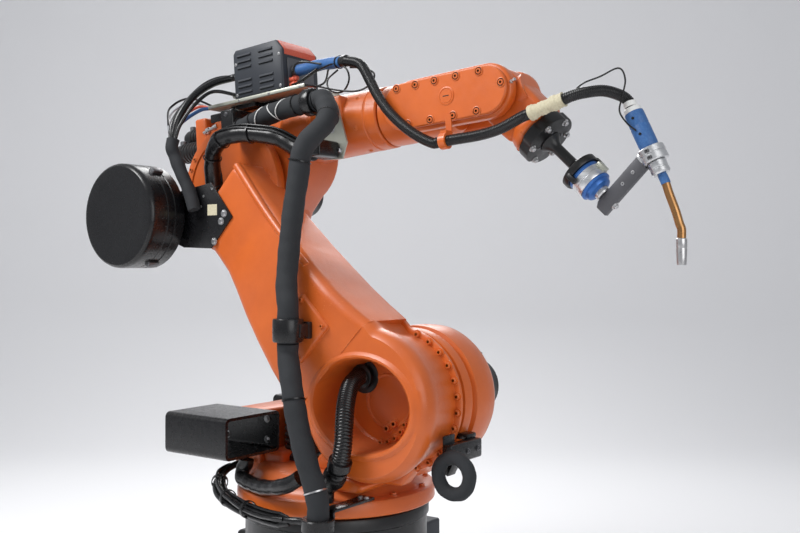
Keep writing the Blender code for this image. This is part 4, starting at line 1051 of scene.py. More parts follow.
@dataclass
class ColumnAssembly(Assembly):
    """Rotating column with the shoulder drum, motors, fork pockets and hose clamps."""

    bottom: float = 0.507
    top: float = 0.552
    neck: float = 0.602
    flange_radius: float = 0.285
    neck_radius: float = 0.235
    drum_radius: float = 0.19
    drum_near: float = -0.058
    drum_far: float = 0.125
    flange_screws: Tuple[int, ...] = (15, 45, 75, 105, 135, 345)
    flange_screw_circle: float = 0.262
    pocket_wall: float = 0.008
    pocket_corner: float = 0.016

    def build(self) -> None:
        """Builds and dresses the column."""
        self._casting()
        self._motors()
        self._pockets()
        self._clamps()

    def _casting(self) -> None:
        """Builds the orange casting."""
        shape = self.shape("column_casting", Place.WORLD, "cast_orange")
        fr, nr = self.flange_radius, self.neck_radius
        shape.lathe(
            [(nr - 0.04, self.neck), (nr - 0.018, self.neck - 0.003), (nr - 0.006, self.neck - 0.012),
             (nr, self.neck - 0.024), (nr + 0.006, self.top + 0.012), (nr + 0.016, self.top + 0.003),
             (nr + 0.026, self.top), (fr - 0.012, self.top), (fr - 0.004, self.top - 0.004), (fr, self.top - 0.012),
             (fr, self.bottom + 0.004), (fr - 0.004, self.bottom), (0.19, self.bottom), (0.19, self.bottom + 0.03)],
            ORIGIN, Axis.UP, 96)
        x, z = SHOULDER.x, SHOULDER.z
        r = self.drum_radius
        near = -self.drum_near
        shape.lathe(
            [(0.14, near - 0.02), (0.14, near), (0.168, near), (0.17, near - 0.012), (0.186, near - 0.014),
             (0.188, near - 0.018), (0.188, 0.012), (0.18, 0.006), (0.18, -0.002), (0.1925, -0.006),
             (r + 0.004, -0.012), (r + 0.004, -0.06), (r + 0.001, -0.095), (r - 0.008, -0.115),
             (r - 0.022, -self.drum_far), (0.1, -self.drum_far)], (x, 0.0, z), Axis.NEAR, 96)
        web = [
            (-0.03, self.neck - 0.02), (0.255, self.neck - 0.02), (0.3, self.neck + 0.02), (0.36, 0.665), (0.4, 0.7),
            (0.28, 0.75), (0.115, 0.74), (0.06, 0.66)]
        shape.plate(web, self.drum_near + 0.004, self.drum_far - 0.01, 0.014, 4)
        shape.plate(
            [(-0.02, self.neck - 0.03), (0.225, self.neck - 0.03), (0.245, self.neck - 0.008),
             (0.205, self.neck + 0.01), (0.01, self.neck + 0.012)], -0.192, -0.038, 0.01, 4)
        shape.plate(
            [(0.03, self.neck + 0.006), (0.11, self.neck + 0.006), (0.125, 0.645), (0.1, 0.68), (0.055, 0.65)], -0.15,
            -0.05, 0.012, 4)
        shape.plate(
            [(0.2, self.neck - 0.02), (0.3, self.neck - 0.015), (0.34, self.neck + 0.035), (0.33, self.neck + 0.06),
             (0.24, self.neck + 0.05)], -0.1, -0.05, 0.01, 3)
        shape.block((-0.3, -COLUMN_SIDE, self.top - 0.01), (-0.19, COLUMN_SIDE, 0.75), 0.012, 3)
        shape.block((-0.235, -0.1, self.top - 0.004), (-0.12, 0.1, 0.63), 0.014, 3)
        shape.block((0.415, -0.052, 0.678), (0.4647, -0.004, 0.722), 0.004)
        for angle in self.flange_screws:
            shape.screw((*polar(self.flange_screw_circle, angle), self.top), Axis.UP, 0.008, 0.008)
        for sx, sz in ((-0.245, 0.73), (-0.215, 0.73), (-0.245, 0.6), (-0.215, 0.6)):
            shape.screw((sx, -COLUMN_SIDE, sz), Axis.NEAR, 0.006, 0.005)
        shape.finish("column", "orange_paint", ["rotating_column"])

    def _motors(self) -> None:
        """Builds both drive motors."""
        shape = self.shape("shoulder_drive", Place.WORLD, "cast_black")
        x, z = SHOULDER.x, SHOULDER.z
        far = self.drum_far
        profile = [
            (0.088, 0.0003), (0.088, 0.018), (0.084, 0.022),
            *fins(9, 0.026, 0.014, 0.0795, 0.0855, (0.004, 0.006, 0.011)), (0.08, 0.165), (0.08, 0.19), (0.072, 0.1997)]
        shape.lathe(profile, (x, far, z), Axis.FAR, 48)
        shape.block((x - 0.03, far + 0.12, z + 0.06), (x + 0.03, far + 0.185, z + 0.1), 0.006, 3)
        shape.use("steel_dark").lathe(
            [(0.019, 0.0), (0.019, 0.02), (0.015, 0.024)], (x, far + 0.15, z + 0.098), Axis.UP, 24)
        shape.use("steel_bright")
        for spot in circle_spots((x, far + 0.018, z), 0.081, 4, 45.0):
            shape.screw(spot, Axis.FAR, 0.005, 0.005)
        shape.finish("column", "black_paint", ["shoulder_motor"])
        shape = self.shape("turning_drive", Place.WORLD, "cast_black")
        profile = [
            (0.0, 0.0), (0.07, 0.0003), (0.07, 0.014), (0.064, 0.018),
            *fins(8, 0.022, 0.018, 0.055, 0.0605, (0.005, 0.008, 0.014)), (0.055, 0.178), (0.055, 0.214),
            (0.048, 0.2247)]
        shape.lathe(profile, (-0.12, 0.0, self.neck), Axis.UP, 40)
        shape.block((-0.145, 0.04, self.neck + 0.15), (-0.095, 0.075, self.neck + 0.21), 0.005)
        shape.finish("column", "black_paint", ["column_motor"])

    def _pockets(self) -> None:
        """Builds the bent plate pockets for lift truck forks."""
        for side, node in ((-1.0, "fork_pocket_near"), (1.0, "fork_pocket_far")):
            low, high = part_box(node)
            wall = self.pocket_wall
            (x0, y0, z0), (x1, y1, z1) = low, high
            outer, inner = [], []
            for ring, radius, inset in ((outer, self.pocket_corner, 0.0), (inner, self.pocket_corner - wall, wall)):
                reach = inset + radius
                for cy, cz, start in (
                        (y1 - reach, z0 + reach, -90.0), (y1 - reach, z1 - reach, 0.0), (y0 + reach, z1 - reach, 90.0),
                        (y0 + reach, z0 + reach, 180.0)):
                    ring += arc((cy, cz), radius, start, 90.0, 6)
            shape = self.shape(node + "_plate", Place.WORLD, "sheet_black")
            e = 0.0015
            rings = [
                (inner, x0), (outer, x0 + e), (outer, x0 + 0.01), (outer, x1 - 0.01), (outer, x1 - e), (inner, x1),
                (inner, x1 - 0.01), (inner, x0 + 0.01), (inner, x0)]
            shape.loft([[(x, y, z) for y, z in ring] for ring, x in rings], capped=False)
            bmesh.ops.remove_doubles(shape.mesh, verts=shape.mesh.verts, dist=MERGE)
            seat = side * COLUMN_SIDE
            shape.use("steel_bright")
            for dx in (-0.08, 0.08):
                for dz in (0.03, -0.03):
                    spot = ((x0 + x1) / 2.0 + dx, seat + side * wall, (z0 + z1) / 2.0 + dz)
                    shape.hexagon(spot, Axis.NEAR if side < 0 else Axis.FAR, 0.008, 0.006)
            shape.finish("column", "black_paint", [node])

    def _clamps(self) -> None:
        """Builds the sleeve clamp, the front clamp and its foam loop."""
        shape = self.shape("sleeve_clamp_ring", Place.WORLD, "sheet_black")
        (cx, cy), r = SLEEVE_CLAMP, SLEEVE_RADIUS
        shape.lathe(
            [(r + 0.0005, -0.016), (r + 0.011, -0.016), (r + 0.013, -0.013), (r + 0.013, 0.013), (r + 0.011, 0.016),
             (r + 0.0005, 0.016)], (cx, cy, 0.5285), Axis.UP, 40, closed=True)
        shape.block((cx - 0.041, cy - 0.007, 0.5135), (cx - 0.03, cy + 0.007, 0.5435), 0.003)
        shape.block((cx + 0.03, cy - 0.007, 0.5135), (cx + 0.041, cy + 0.007, 0.5435), 0.003)
        shape.block((cx - 0.02, cy + 0.034, self.top + 0.0003), (cx + 0.02, -0.142, self.top + 0.008), 0.0015)
        shape.block((cx - 0.02, cy + 0.034, 0.53), (cx + 0.02, cy + 0.042, self.top + 0.008), 0.0015)
        shape.use("steel_bright")
        for x in (cx - 0.01, cx + 0.01):
            shape.hexagon((x, -0.165, self.top + 0.008), Axis.UP, 0.006, 0.005)
        shape.finish("column", "black_paint", ["sleeve_clamp"])
        shape = self.shape("front_clamp_blocks", Place.WORLD, "sheet_black")
        shape.block((0.465, -0.157, 0.675), (0.495, -0.008, 0.724), 0.006, 3)
        shape.block((0.462, -0.15, 0.69), (0.47, -0.1, 0.745), 0.004)
        shape.block((0.44, -0.0535, 0.722), (0.478, -0.008, 0.737), 0.005)
        shape.plate([(0.468, 0.682), (0.492, 0.682), (0.47, 0.64), (0.458, 0.652)], -0.14, -0.1, 0.004, 2)
        shape.use("steel_dark")
        for y in (-0.14, -0.08, -0.03):
            shape.screw((0.495, y, 0.7), Axis.X, 0.005, 0.005)
        shape.finish("column", "black_paint", ["front_clamp"])
        shape = self.shape("foam_loop", Place.WORLD, "foam_grey")
        tube, loop = 0.0175, 0.045
        profile = arc((loop, 0.0), tube, 0.0, 360.0, 18)[:-1]

        def uneven(angle: float, radius: float) -> float:
            """Gives the soft loop's unevenness.

            Args:
                angle: The lathe's angle.
                radius: The nominal radius.

            Returns:
                The factor of the radius.
            """
            return 1.0 + 0.01 * math.sin(5.0 * angle) + 0.006 * math.sin(11.0 * angle + 1.0)

        shape.lathe(profile, (0.512, -0.174, 0.655), Axis.FAR, 64, closed=True, squeeze=uneven)
        shape.finish("column", "foam_sleeve", ["front_hose_loop"])


@dataclass
class LinkAssembly(Assembly):
    """Link arm between shoulder and elbow, with the spool and the hose clip."""

    hub_radius: float = 0.2
    near: float = 0.25
    far: float = 0.065
    recess_floor: float = 0.124
    half_length: float = 0.157
    half_height: float = 0.123
    recess_limit: float = 0.175
    recess_nominal: float = 0.14
    back_reach: float = 0.184
    front_reach: float = 0.168
    top_reach: float = 0.15
    recess_screws: float = 0.1848
    elbow_screws: float = 0.181
    spool: float = 0.155
    spool_centre: Point = (-0.552, 0.0, 1.319)
    stations: Tuple[Tuple[float, float, float, float], ...] = (
        (0.135, -0.184, 0.168, 0.2515), (0.2, -0.171, 0.158, 0.259), (0.27, -0.16, 0.15, 0.262),
        (0.36, -0.147, 0.144, 0.256), (0.45, -0.136, 0.139, 0.243), (0.54, -0.126, 0.137, 0.222),
        (0.61, -0.121, 0.136, 0.206), (0.68, -0.12, 0.135, 0.201), (0.75, -0.12, 0.135, 0.2),
        (0.795, -0.12, 0.135, 0.2))

    def _oval(self, angle: float) -> float:
        """Gives the recess's radius.

        Args:
            angle: The lathe's angle.

        Returns:
            The oval's radius in that direction.
        """
        x, z = -math.cos(angle), math.sin(angle)
        along = x * math.cos(LINK_LEAN) - z * math.sin(LINK_LEAN)
        across = x * math.sin(LINK_LEAN) + z * math.cos(LINK_LEAN)
        return 1.0 / math.hypot(along / self.half_length, across / self.half_height)

    def _squeeze(self, angle: float, radius: float) -> float:
        """Turns a nominal radius into the hub's real one.

        Args:
            angle: The lathe's angle.
            radius: The nominal radius; below recess_limit it is a share of the oval.

        Returns:
            The factor of the radius.
        """
        if radius < self.recess_limit:
            return self._oval(angle) / self.recess_nominal
        x, z = -math.cos(angle), math.sin(angle)
        if z <= 0.02:
            return 1.0
        limit = self.back_reach if x < 0 else self.front_reach
        reach = min(limit / max(abs(x), MERGE), self.top_reach / z)
        return max(1.0, (reach - self.hub_radius + radius) / radius)

    def _section(self, z: float, back: float, front: float, near: float) -> List[Point]:
        """Finds one ring of the beam.

        Args:
            z: Its height along the link.
            back: X of its rear side.
            front: X of its front side.
            near: Distance of its near side.

        Returns:
            The ring's points.
        """
        ring: List[Point] = []
        corner = 0.03
        for cx, cy, start in (
                (front, -near, -90.0), (front, -self.far, 0.0), (back, -self.far, 90.0), (back, -near, 180.0)):
            tight = corner if cy < -self.far - 0.001 else 0.012
            mx = cx - tight if cx > 0 else cx + tight
            my = cy + tight if cy < -self.far - 0.001 else cy - tight
            ring += [(x, y, z) for x, y in arc((mx, my), tight, start, 90.0, 6)]
        return ring

    def build(self) -> None:
        """Builds and dresses the link."""
        self._casting()
        self._spool()
        self._clip()
        for node in ("shoulder_gear", "elbow_gear"):
            self.paint(node, "steel_bright")

    def _casting(self) -> None:
        """Builds the orange casting with its oval recess."""
        shape = self.shape("link_casting", Place.LINK, "cast_orange")
        near, far, r = self.near, self.far, self.hub_radius
        shape.lathe(
            [(0.1, far), (0.189, far), (0.193, far + 0.003), (0.193, far + 0.012), (0.19, far + 0.014),
             (0.1775, far + 0.0145), (0.1765, far + 0.03), (0.18, far + 0.06), (0.188, far + 0.095),
             (0.196, far + 0.125), (r, near - 0.045), (r, near - 0.034), (r - 0.003, near - 0.02),
             (r - 0.009, near - 0.009), (r - 0.019, near - 0.001), (0.1575, near), (0.1535, near + 0.0035),
             (0.148, near + 0.007), (0.142, near + 0.007), (0.1375, near + 0.003), (0.135, near - 0.006),
             (0.1335, near - 0.03), (0.1325, self.recess_floor + 0.02), (0.128, self.recess_floor + 0.006),
             (0.12, self.recess_floor)], ORIGIN, Axis.NEAR, 128, squeeze=self._squeeze)
        rows = []
        for low, high in zip(self.stations, self.stations[1:]):
            for k in range(4):
                t = k / 4.0
                t = t * t * (3.0 - 2.0 * t) * 0.3 + t * 0.7
                rows.append([a + (b - a) * t for a, b in zip(low, high)])
        rows.append(list(self.stations[-1]))
        rows.append([0.802, -0.117, 0.132, 0.197])
        rows.append([0.805, -0.108, 0.123, 0.188])
        shape.loft([self._section(*row) for row in rows])
        shape.lathe(
            [(0.185, 0.065), (0.194, 0.068), (0.197, 0.074), (0.197, 0.092), (0.194, 0.098), (0.186, 0.1), (0.168, 0.1),
             (0.166, 0.096)], (0.0, 0.0, LINK_LENGTH), Axis.NEAR, 96)
        ridge = [
            Vector((0.128 - 0.012 * math.sin(math.pi * t), -0.194 - 0.045 * (1.0 - t) ** 1.5, 0.8 - 0.42 * (1.0 - t)))
            for t in (k / 14.0 for k in range(15))]
        shape.sweep(ridge, lambda d: 0.012, 12)
        shape.block((-0.062, -0.2697, 0.203), (0.082, -0.22, 0.327), 0.008, 3)
        for x in (-0.05, 0.07):
            for z in (0.217, 0.313):
                shape.screw((x, -0.2697, z), Axis.NEAR, 0.0055, 0.006)
        for angle in range(-170, 30, 13):
            x, z = polar(self.recess_screws, angle)
            shape.screw((x, -0.0792, z), Axis.NEAR, 0.0078, 0.008)
        for angle in range(100, 232, 11):
            x, z = polar(self.elbow_screws, angle)
            shape.screw((x, -0.0995, LINK_LENGTH + z), Axis.NEAR, 0.0066, 0.0045)
        shape.lathe([(0.113, 0.1265), (0.117, 0.1255), (0.118, 0.122)], ORIGIN, Axis.NEAR, 72)
        shape.lathe([(0.064, 0.1262), (0.068, 0.1285), (0.072, 0.1285), (0.075, 0.126)], ORIGIN, Axis.NEAR, 64)
        for x, z, size in (
                (0.257, 0.704, 0.0075), (0.28, 0.709, 0.0075), (0.303, 0.72, 0.0075), (0.322, 0.738, 0.0075),
                (0.334, 0.758, 0.0075), (0.277, 0.743, 0.0095), (0.3, 0.757, 0.0095)):
            spot = Place.LINK.local((x, 0.0, z))
            shape.screw((spot.x, -0.127, spot.z), Axis.NEAR, size, 0.008)
        spot = Place.LINK.local(CAP_CENTRE)
        shape.use("cast_black").lathe(
            [(0.046, 0.1255), (0.046, 0.1285), (0.043, 0.1298), (0.033, 0.1298), (0.033, 0.143), (0.0295, 0.145)],
            (spot.x, 0.0, spot.z), Axis.NEAR, 48)
        shape.finish("link", "orange_paint", ["link_arm", "hub_back_plate"])

    def _spool(self) -> None:
        """Builds the wire spool's cover and its plate."""
        centre = Place.LINK.local(self.spool_centre)
        shape = self.shape("spool_cover", Place.LINK, "sheet_black")
        shape.lathe(
            [(0.0, 0.342), (0.06, 0.3425), (0.11, 0.344), (0.138, 0.3462), (0.146, 0.3455), (0.1515, 0.341),
             (0.1545, 0.334), (self.spool, 0.326), (self.spool, 0.288), (0.1535, 0.2865), (0.1535, 0.2845),
             (self.spool, 0.283), (self.spool, 0.262), (0.1525, 0.2605), (0.1525, 0.2575), (self.spool, 0.256),
             (self.spool, 0.224), (0.151, 0.219), (0.05, 0.219), (0.04, 0.212), (0.04, 0.2066)], tuple(centre),
            Axis.NEAR, 96)
        shape.use("steel_dark")
        for x, _, z in circle_spots(centre, self.spool + 0.001, 3, 10.0):
            shape.block((x - 0.01, -0.292, z - 0.01), (x + 0.01, -0.254, z + 0.01), 0.003)
        shape.finish("link", "black_paint", ["spool_drum"])
        plate = self.shape("spool_mount_plate", Place.LINK, "sheet_black")

        def flat(x: float, z: float) -> Tuple[float, float]:
            """Turns a point of the pose into the link's frame.

            Args:
                x: Its X.
                z: Its height.

            Returns:
                X and Z in the link's frame.
            """
            point = Place.LINK.local((x, 0.0, z))
            return (point.x, point.z)

        outline = [
            flat(-0.3047, 1.2215), flat(-0.2185, 1.3122), flat(-0.3047, 1.414), flat(-0.411, 1.3985),
            (centre.x + 0.03, centre.z + 0.045), (centre.x - 0.03, centre.z + 0.035),
            (centre.x - 0.035, centre.z - 0.03), flat(-0.4195, 1.2257)]
        plate.plate(outline, -0.206, -0.2003, 0.0012, 2)
        label = [flat(-0.318, 1.318), flat(-0.279, 1.318), flat(-0.279, 1.35), flat(-0.318, 1.35)]
        plate.use("tape_cream").plate(label, -0.2068, -0.2055, 0.0003, 1)
        plate.use("steel_bright")
        for x, z in ((-0.25, 1.322), (-0.262, 1.3), (-0.29, 1.242)):
            u, v = flat(x, z)
            plate.hexagon((u, -0.206, v), Axis.NEAR, 0.0085, 0.006)
        for x, z in ((-0.335, 1.375), (-0.3, 1.395), (-0.345, 1.345)):
            u, v = flat(x, z)
            plate.screw((u, -0.206, v), Axis.NEAR, 0.0025, 0.002)
        plate.finish("link", "black_paint", ["spool_plate"])

    def _clip(self) -> None:
        """Builds the strap that holds the sleeve on the link."""
        (x, y, z), r = SLEEVE_CLIP, SLEEVE_RADIUS
        shape = self.shape("sleeve_strap", Place.WORLD, "sheet_black")
        shape.lathe(
            [(r + 0.0005, -0.03), (r + 0.009, -0.03), (r + 0.011, -0.026), (r + 0.0115, 0.0), (r + 0.011, 0.026),
             (r + 0.009, 0.03), (r + 0.0005, 0.03)], (x, y, z), Axis.UP, 40, closed=True)
        shape.block((x - 0.045, y + 0.029, z - 0.022), (x + 0.045, -0.2703, z + 0.022), 0.003)
        shape.block((x - 0.044, y - 0.002, z - 0.018), (x - 0.034, y + 0.032, z + 0.018), 0.003)
        shape.block((x + 0.034, y - 0.002, z - 0.018), (x + 0.044, y + 0.032, z + 0.018), 0.003)
        shape.finish("link", "black_paint", ["sleeve_clip"])


@dataclass
class ArmAssembly(Assembly):
    """Upper arm with its barrel, motors, wire feeder and hose fittings."""

    axis_z: float = 0.145
    barrel: float = 0.091
    seam: float = 0.55
    near: float = -0.055
    far: float = 0.09

    def build(self) -> None:
        """Builds and dresses the arm."""
        self._casting()
        self._motors()
        self._feeder()
        self._fittings()

    def _casting(self) -> None:
        """Builds the orange casting."""
        shape = self.shape("arm_casting", Place.ARM, "cast_orange")
        near, far = -self.near, -self.far
        shape.lathe(
            [(0.121, near - 0.02), (0.121, near), (0.18, near), (0.191, near - 0.003), (0.198, near - 0.01),
             (0.2, near - 0.02), (0.2, 0.0), (0.197, -0.05), (0.19, -0.074), (0.182, far + 0.002), (0.176, far),
             (0.15, far), (0.146, far + 0.0025), (0.118, far + 0.0025), (0.114, far)], ORIGIN, Axis.NEAR, 96)
        outline = arc((0.142, 0.089), 0.148, 20.0, -78.0, 9) + arc((0.0, 0.0), 0.196, -66.0, -149.0, 16)
        outline += [(-0.165, 0.16), (-0.15, 0.205), (-0.1, 0.232), (0.2, 0.236)]
        shape.plate(outline, self.near + 0.001, self.far - 0.004, 0.02, 5)
        for spot in circle_spots((0.0, self.far - 0.0022, 0.0), 0.132, 12, 15.0):
            shape.screw(spot, Axis.FAR, 0.0058, 0.006)
        b, z = self.barrel, self.axis_z
        shape.lathe(
            [(b - 0.045, 0.155), (b - 0.02, 0.185), (b - 0.004, 0.208), (b, 0.225), (b, 0.315), (b - 0.0012, 0.37),
             (0.0885, 0.42), (0.0868, 0.48), (0.0868, 0.506), (0.0848, 0.509), (0.0848, 0.512), (0.0866, 0.515),
             (0.0858, self.seam - 0.004), (0.083, self.seam)], (0.0, 0.0, z), Axis.X, 80)
        shape.lathe(
            [(0.0, 0.2), (b + 0.0005, 0.24), (b + 0.004, 0.262), (b + 0.004, 0.292), (b + 0.0005, 0.312)],
            (0.0, 0.0, z), Axis.X, 80)
        shape.block((-0.19, self.near + 0.004, 0.105), (-0.14, self.far + 0.045, 0.25), 0.008, 3)
        shape.block((0.325, -0.0945, 0.1), (0.44, -0.03, 0.215), 0.008, 3)
        shape.block((-0.05, -0.05, 0.2), (0.26, 0.05, 0.243), 0.008, 3)
        for spot in circle_spots((0.0, self.near, 0.0), 0.16, 14, 12.0):
            if spot[2] < 0.09:
                shape.screw((spot[0], self.near, spot[2]), Axis.NEAR, 0.0078, 0.007)
        for spot in circle_spots((0.478, 0.0, z), 0.0862, 6, 20.0, plane="YZ"):
            away = Vector((0.0, spot[1], spot[2] - z)).normalized()
            shape.screw(spot, away, 0.0045, 0.004)
        shape.finish("arm", "orange_paint", ["arm_housing"])

    def _motors(self) -> None:
        """Builds the drive motors."""
        shape = self.shape("elbow_drive", Place.ARM, "cast_black")
        profile = [
            (0.0, 0.0003), (0.075, 0.0003), (0.075, 0.016), (0.07, 0.02),
            *fins(8, 0.024, 0.014, 0.066, 0.0725, (0.004, 0.006, 0.011)), (0.067, 0.145), (0.067, 0.17), (0.06, 0.1797)]
        shape.lathe(profile, (0.0, self.far, 0.0), Axis.FAR, 44)
        shape.use("steel_bright")
        for spot in circle_spots((0.0, self.far + 0.016, 0.0), 0.07, 4, 45.0):
            shape.screw(spot, Axis.FAR, 0.0045, 0.005)
        shape.finish("arm", "black_paint", ["elbow_motor"])
        for name, y, z in (
                ("wrist_motor_lower", -0.004, 0.158), ("wrist_motor_upper", 0.042, 0.212),
                ("wrist_motor_side", 0.088, 0.158)):
            shape = self.shape(name + "_drive", Place.ARM, "cast_black")
            profile = [
                (0.0, 0.1903), (0.034, 0.1903), (0.034, 0.204), (0.031, 0.206),
                *fins(6, 0.209, 0.013, 0.0305, 0.0333, (0.003, 0.005, 0.01)), (0.03, 0.288), (0.03, 0.306),
                (0.026, 0.315)]
            shape.lathe(profile, (0.0, y, z), Vector((-1.0, 0.0, 0.0)), 32)
            shape.use("steel_dark").lathe(
                [(0.011, 0.0), (0.011, 0.012), (0.009, 0.014)], (-0.296, y, z + 0.028), Axis.UP, 20)
            shape.finish("arm", "black_paint", [name])
        shape = self.shape("rear_blocks", Place.ARM, "rubber_black")
        shape.block((-0.125, -0.045, 0.228), (-0.06, 0.03, 0.2558), 0.004)
        shape.use("steel_dark").block((-0.055, -0.048, 0.242), (-0.004, 0.02, 0.2555), 0.003)
        shape.use("steel_bright").lathe(
            [(0.009, 0.0), (0.009, 0.016), (0.0065, 0.018), (0.0065, 0.03), (0.01, 0.032), (0.01, 0.044),
             (0.0055, 0.046), (0.0055, 0.058)], (-0.088, -0.05, 0.214), Vector((-0.95, -0.12, -0.25)), 24)
        shape.finish("arm", "black_paint")

    def _feeder(self) -> None:
        """Builds the wire feeder on its rail."""
        shape = self.shape("feeder_rail_plate", Place.ARM, "zinc_pale")
        shape.block((-0.075, -0.1, 0.256), (0.317, 0.06, 0.2592), 0.001, 2)
        shape.block((-0.075, -0.1, 0.256), (0.317, -0.0965, 0.268), 0.001, 2)
        shape.block((-0.075, 0.0565, 0.256), (0.317, 0.06, 0.268), 0.001, 2)
        shape.block((0.01, -0.085, 0.2585), (0.235, 0.05, 0.268), 0.002, 2)
        shape.use("steel_bright")
        for x in (-0.06, 0.06, 0.18, 0.3):
            shape.screw((x, -0.1, 0.262), Axis.NEAR, 0.0028, 0.002)
        shape.finish("arm", "pale_zinc", ["feeder_rail"])
        shape = self.shape("feeder_case", Place.ARM, "box_grey")
        x0, x1, z0, z1 = 0.022, 0.222, 0.2683, 0.423
        side = [
            (x0, z0 + 0.004), (x0 + 0.006, z0), (x1 - 0.006, z0), (x1, z0 + 0.004), (x1, z1 - 0.03), (x1 - 0.024, z1),
            (x0 + 0.01, z1), (x0, z1 - 0.012)]
        shape.plate(side, -0.0785, 0.0785, 0.004, 3)
        inner = [
            (x0 + 0.004, z0 + 0.008), (x1 - 0.004, z0 + 0.008), (x1 - 0.004, z1 - 0.031), (x1 - 0.026, z1 - 0.004),
            (x0 + 0.012, z1 - 0.004), (x0 + 0.004, z1 - 0.014)]
        shape.plate(inner, -0.08, -0.077, 0.0012, 2)
        shape.plate(inner, 0.077, 0.08, 0.0012, 2)
        for column in (0.04, 0.128):
            for row in (0.012, 0.03, 0.048, 0.088, 0.106, 0.124):
                x, z = column, z0 + row + 0.006
                shape.loft(
                    [[(x, -0.0798, z), (x + 0.058, -0.0798, z), (x + 0.058, -0.0798, z + 0.008),
                      (x, -0.0798, z + 0.008)], [(x + 0.002, -0.0845, z + 0.001), (x + 0.056, -0.0845, z + 0.001),
                      (x + 0.056, -0.0842, z + 0.003), (x + 0.002, -0.0842, z + 0.003)]])
                # Painted shade: a black strip under each louvre stands in for the shade in the vent opening
                shape.use("rubber_black").block(
                    (x + 0.001, -0.0812, z - 0.0018), (x + 0.057, -0.0796, z + 0.0006), 0.0004, 1)
                shape.use("box_grey")
        shape.use("plug_red").plate(
            [(x1 - 0.0225, z1 + 0.0003), (x1 + 0.0012, z1 - 0.029), (x1 + 0.0012, z1 - 0.046), (x1 - 0.001, z1 - 0.046),
             (x1 - 0.001, z1 - 0.031), (x1 - 0.024, z1 - 0.003)], -0.07, 0.07, 0.0004, 1)
        shape.use("steel_dark").block((x1 - 0.002, -0.06, z0 + 0.008), (x1 + 0.004, 0.055, z0 + 0.1), 0.002)
        for y, z in ((-0.052, z0 + 0.018), (-0.052, z0 + 0.034), (0.02, z0 + 0.018)):
            shape.use("plug_red").lathe(
                [(0.0075, 0.0), (0.0075, 0.012), (0.009, 0.013), (0.009, 0.02), (0.0065, 0.022), (0.0065, 0.03),
                 (0.0, 0.031)], (x1 + 0.002, y, z), Axis.X, 20)
        shape.use("steel_bright")
        for x in (x0 + 0.012, x1 - 0.012):
            for z in (z0 + 0.016, z1 - 0.045):
                shape.screw((x, -0.08, z), Axis.NEAR, 0.003, 0.002)
        shape.lathe(
            [(0.012, 0.0), (0.012, 0.006), (0.0095, 0.008), (0.0095, 0.018)], (x0, -0.05, 0.352),
            Vector((-1.0, 0.0, 0.0)), 6)
        shape.lathe(
            [(0.006, 0.0), (0.006, 0.012), (0.008, 0.013), (0.008, 0.019), (0.0, 0.02)], (x0, -0.062, 0.29),
            Vector((-1.0, 0.0, 0.0)), 18)
        shape.finish("arm", "dark_grey_plastic", ["feeder_box"])
        self.paint("feeder_mount", "sheet_black")

    def _fittings(self) -> None:
        """Builds the elbow's bracket bolts, the hose ring, the block and the gland."""
        self.paint("elbow_bracket", "zinc_pale")
        shape = self.shape("bracket_bolts", Place.ARM, "steel_bright")
        for x, z in ((0.079, 1.596), (0.092, 1.49), (0.066, 1.55)):
            point = Place.ARM.local((x, 0.0, z))
            shape.screw((point.x, -0.1008, point.z), Axis.NEAR, 0.0065, 0.0065)
        shape.finish("arm", "bright_steel")
        shape = self.shape("hose_ring", Place.ARM, "rubber_black")
        x, y, z = ARM_RING
        r = SLEEVE_RADIUS
        shape.lathe(
            [(r + 0.0005, -0.015), (r + 0.007, -0.015), (r + 0.009, -0.011), (r + 0.009, 0.011), (r + 0.007, 0.015),
             (r + 0.0005, 0.015)], ARM_RING, Axis.X, 48, closed=True)
        shape.block((x - 0.013, y + r + 0.002, z - 0.022), (x + 0.013, -0.1011, z + 0.022), 0.003)
        shape.finish("arm", "black_paint", ["elbow_ring"])
        shape = self.shape("hose_socket", Place.ARM, "rubber_black")
        low = Place.ARM.local(HOSE_SOCKET)
        shape.block((low.x, -0.188, low.z), (low.x + 0.056, -0.1011, low.z + 0.045), 0.006, 3)
        shape.lathe([(0.03, -0.004), (0.03, 0.008), (0.0262, 0.01)], (low.x, -0.158, low.z + 0.0225), Axis.X, 40)
        shape.finish("arm", "black_rubber", ["hose_block"])
        shape = self.shape("gland_housing", Place.ARM, "sheet_black")
        shape.block((0.045, -0.169, 0.134), (0.095, -0.105, 0.2245), 0.006, 3)
        shape.block((0.049, -0.12, 0.2055), (0.091, -0.0553, 0.2245), 0.003, 2)
        shape.lathe([(0.032, 0.09), (0.032, 0.099), (0.0295, 0.1005)], (0.0, -0.1355, 0.168), Axis.X, 36)
        shape.use("steel_dark")
        for z in (0.148, 0.21):
            shape.screw((0.07, -0.169, z), Axis.NEAR, 0.0045, 0.004)
        shape.finish("arm", "black_paint", ["sleeve_gland"])


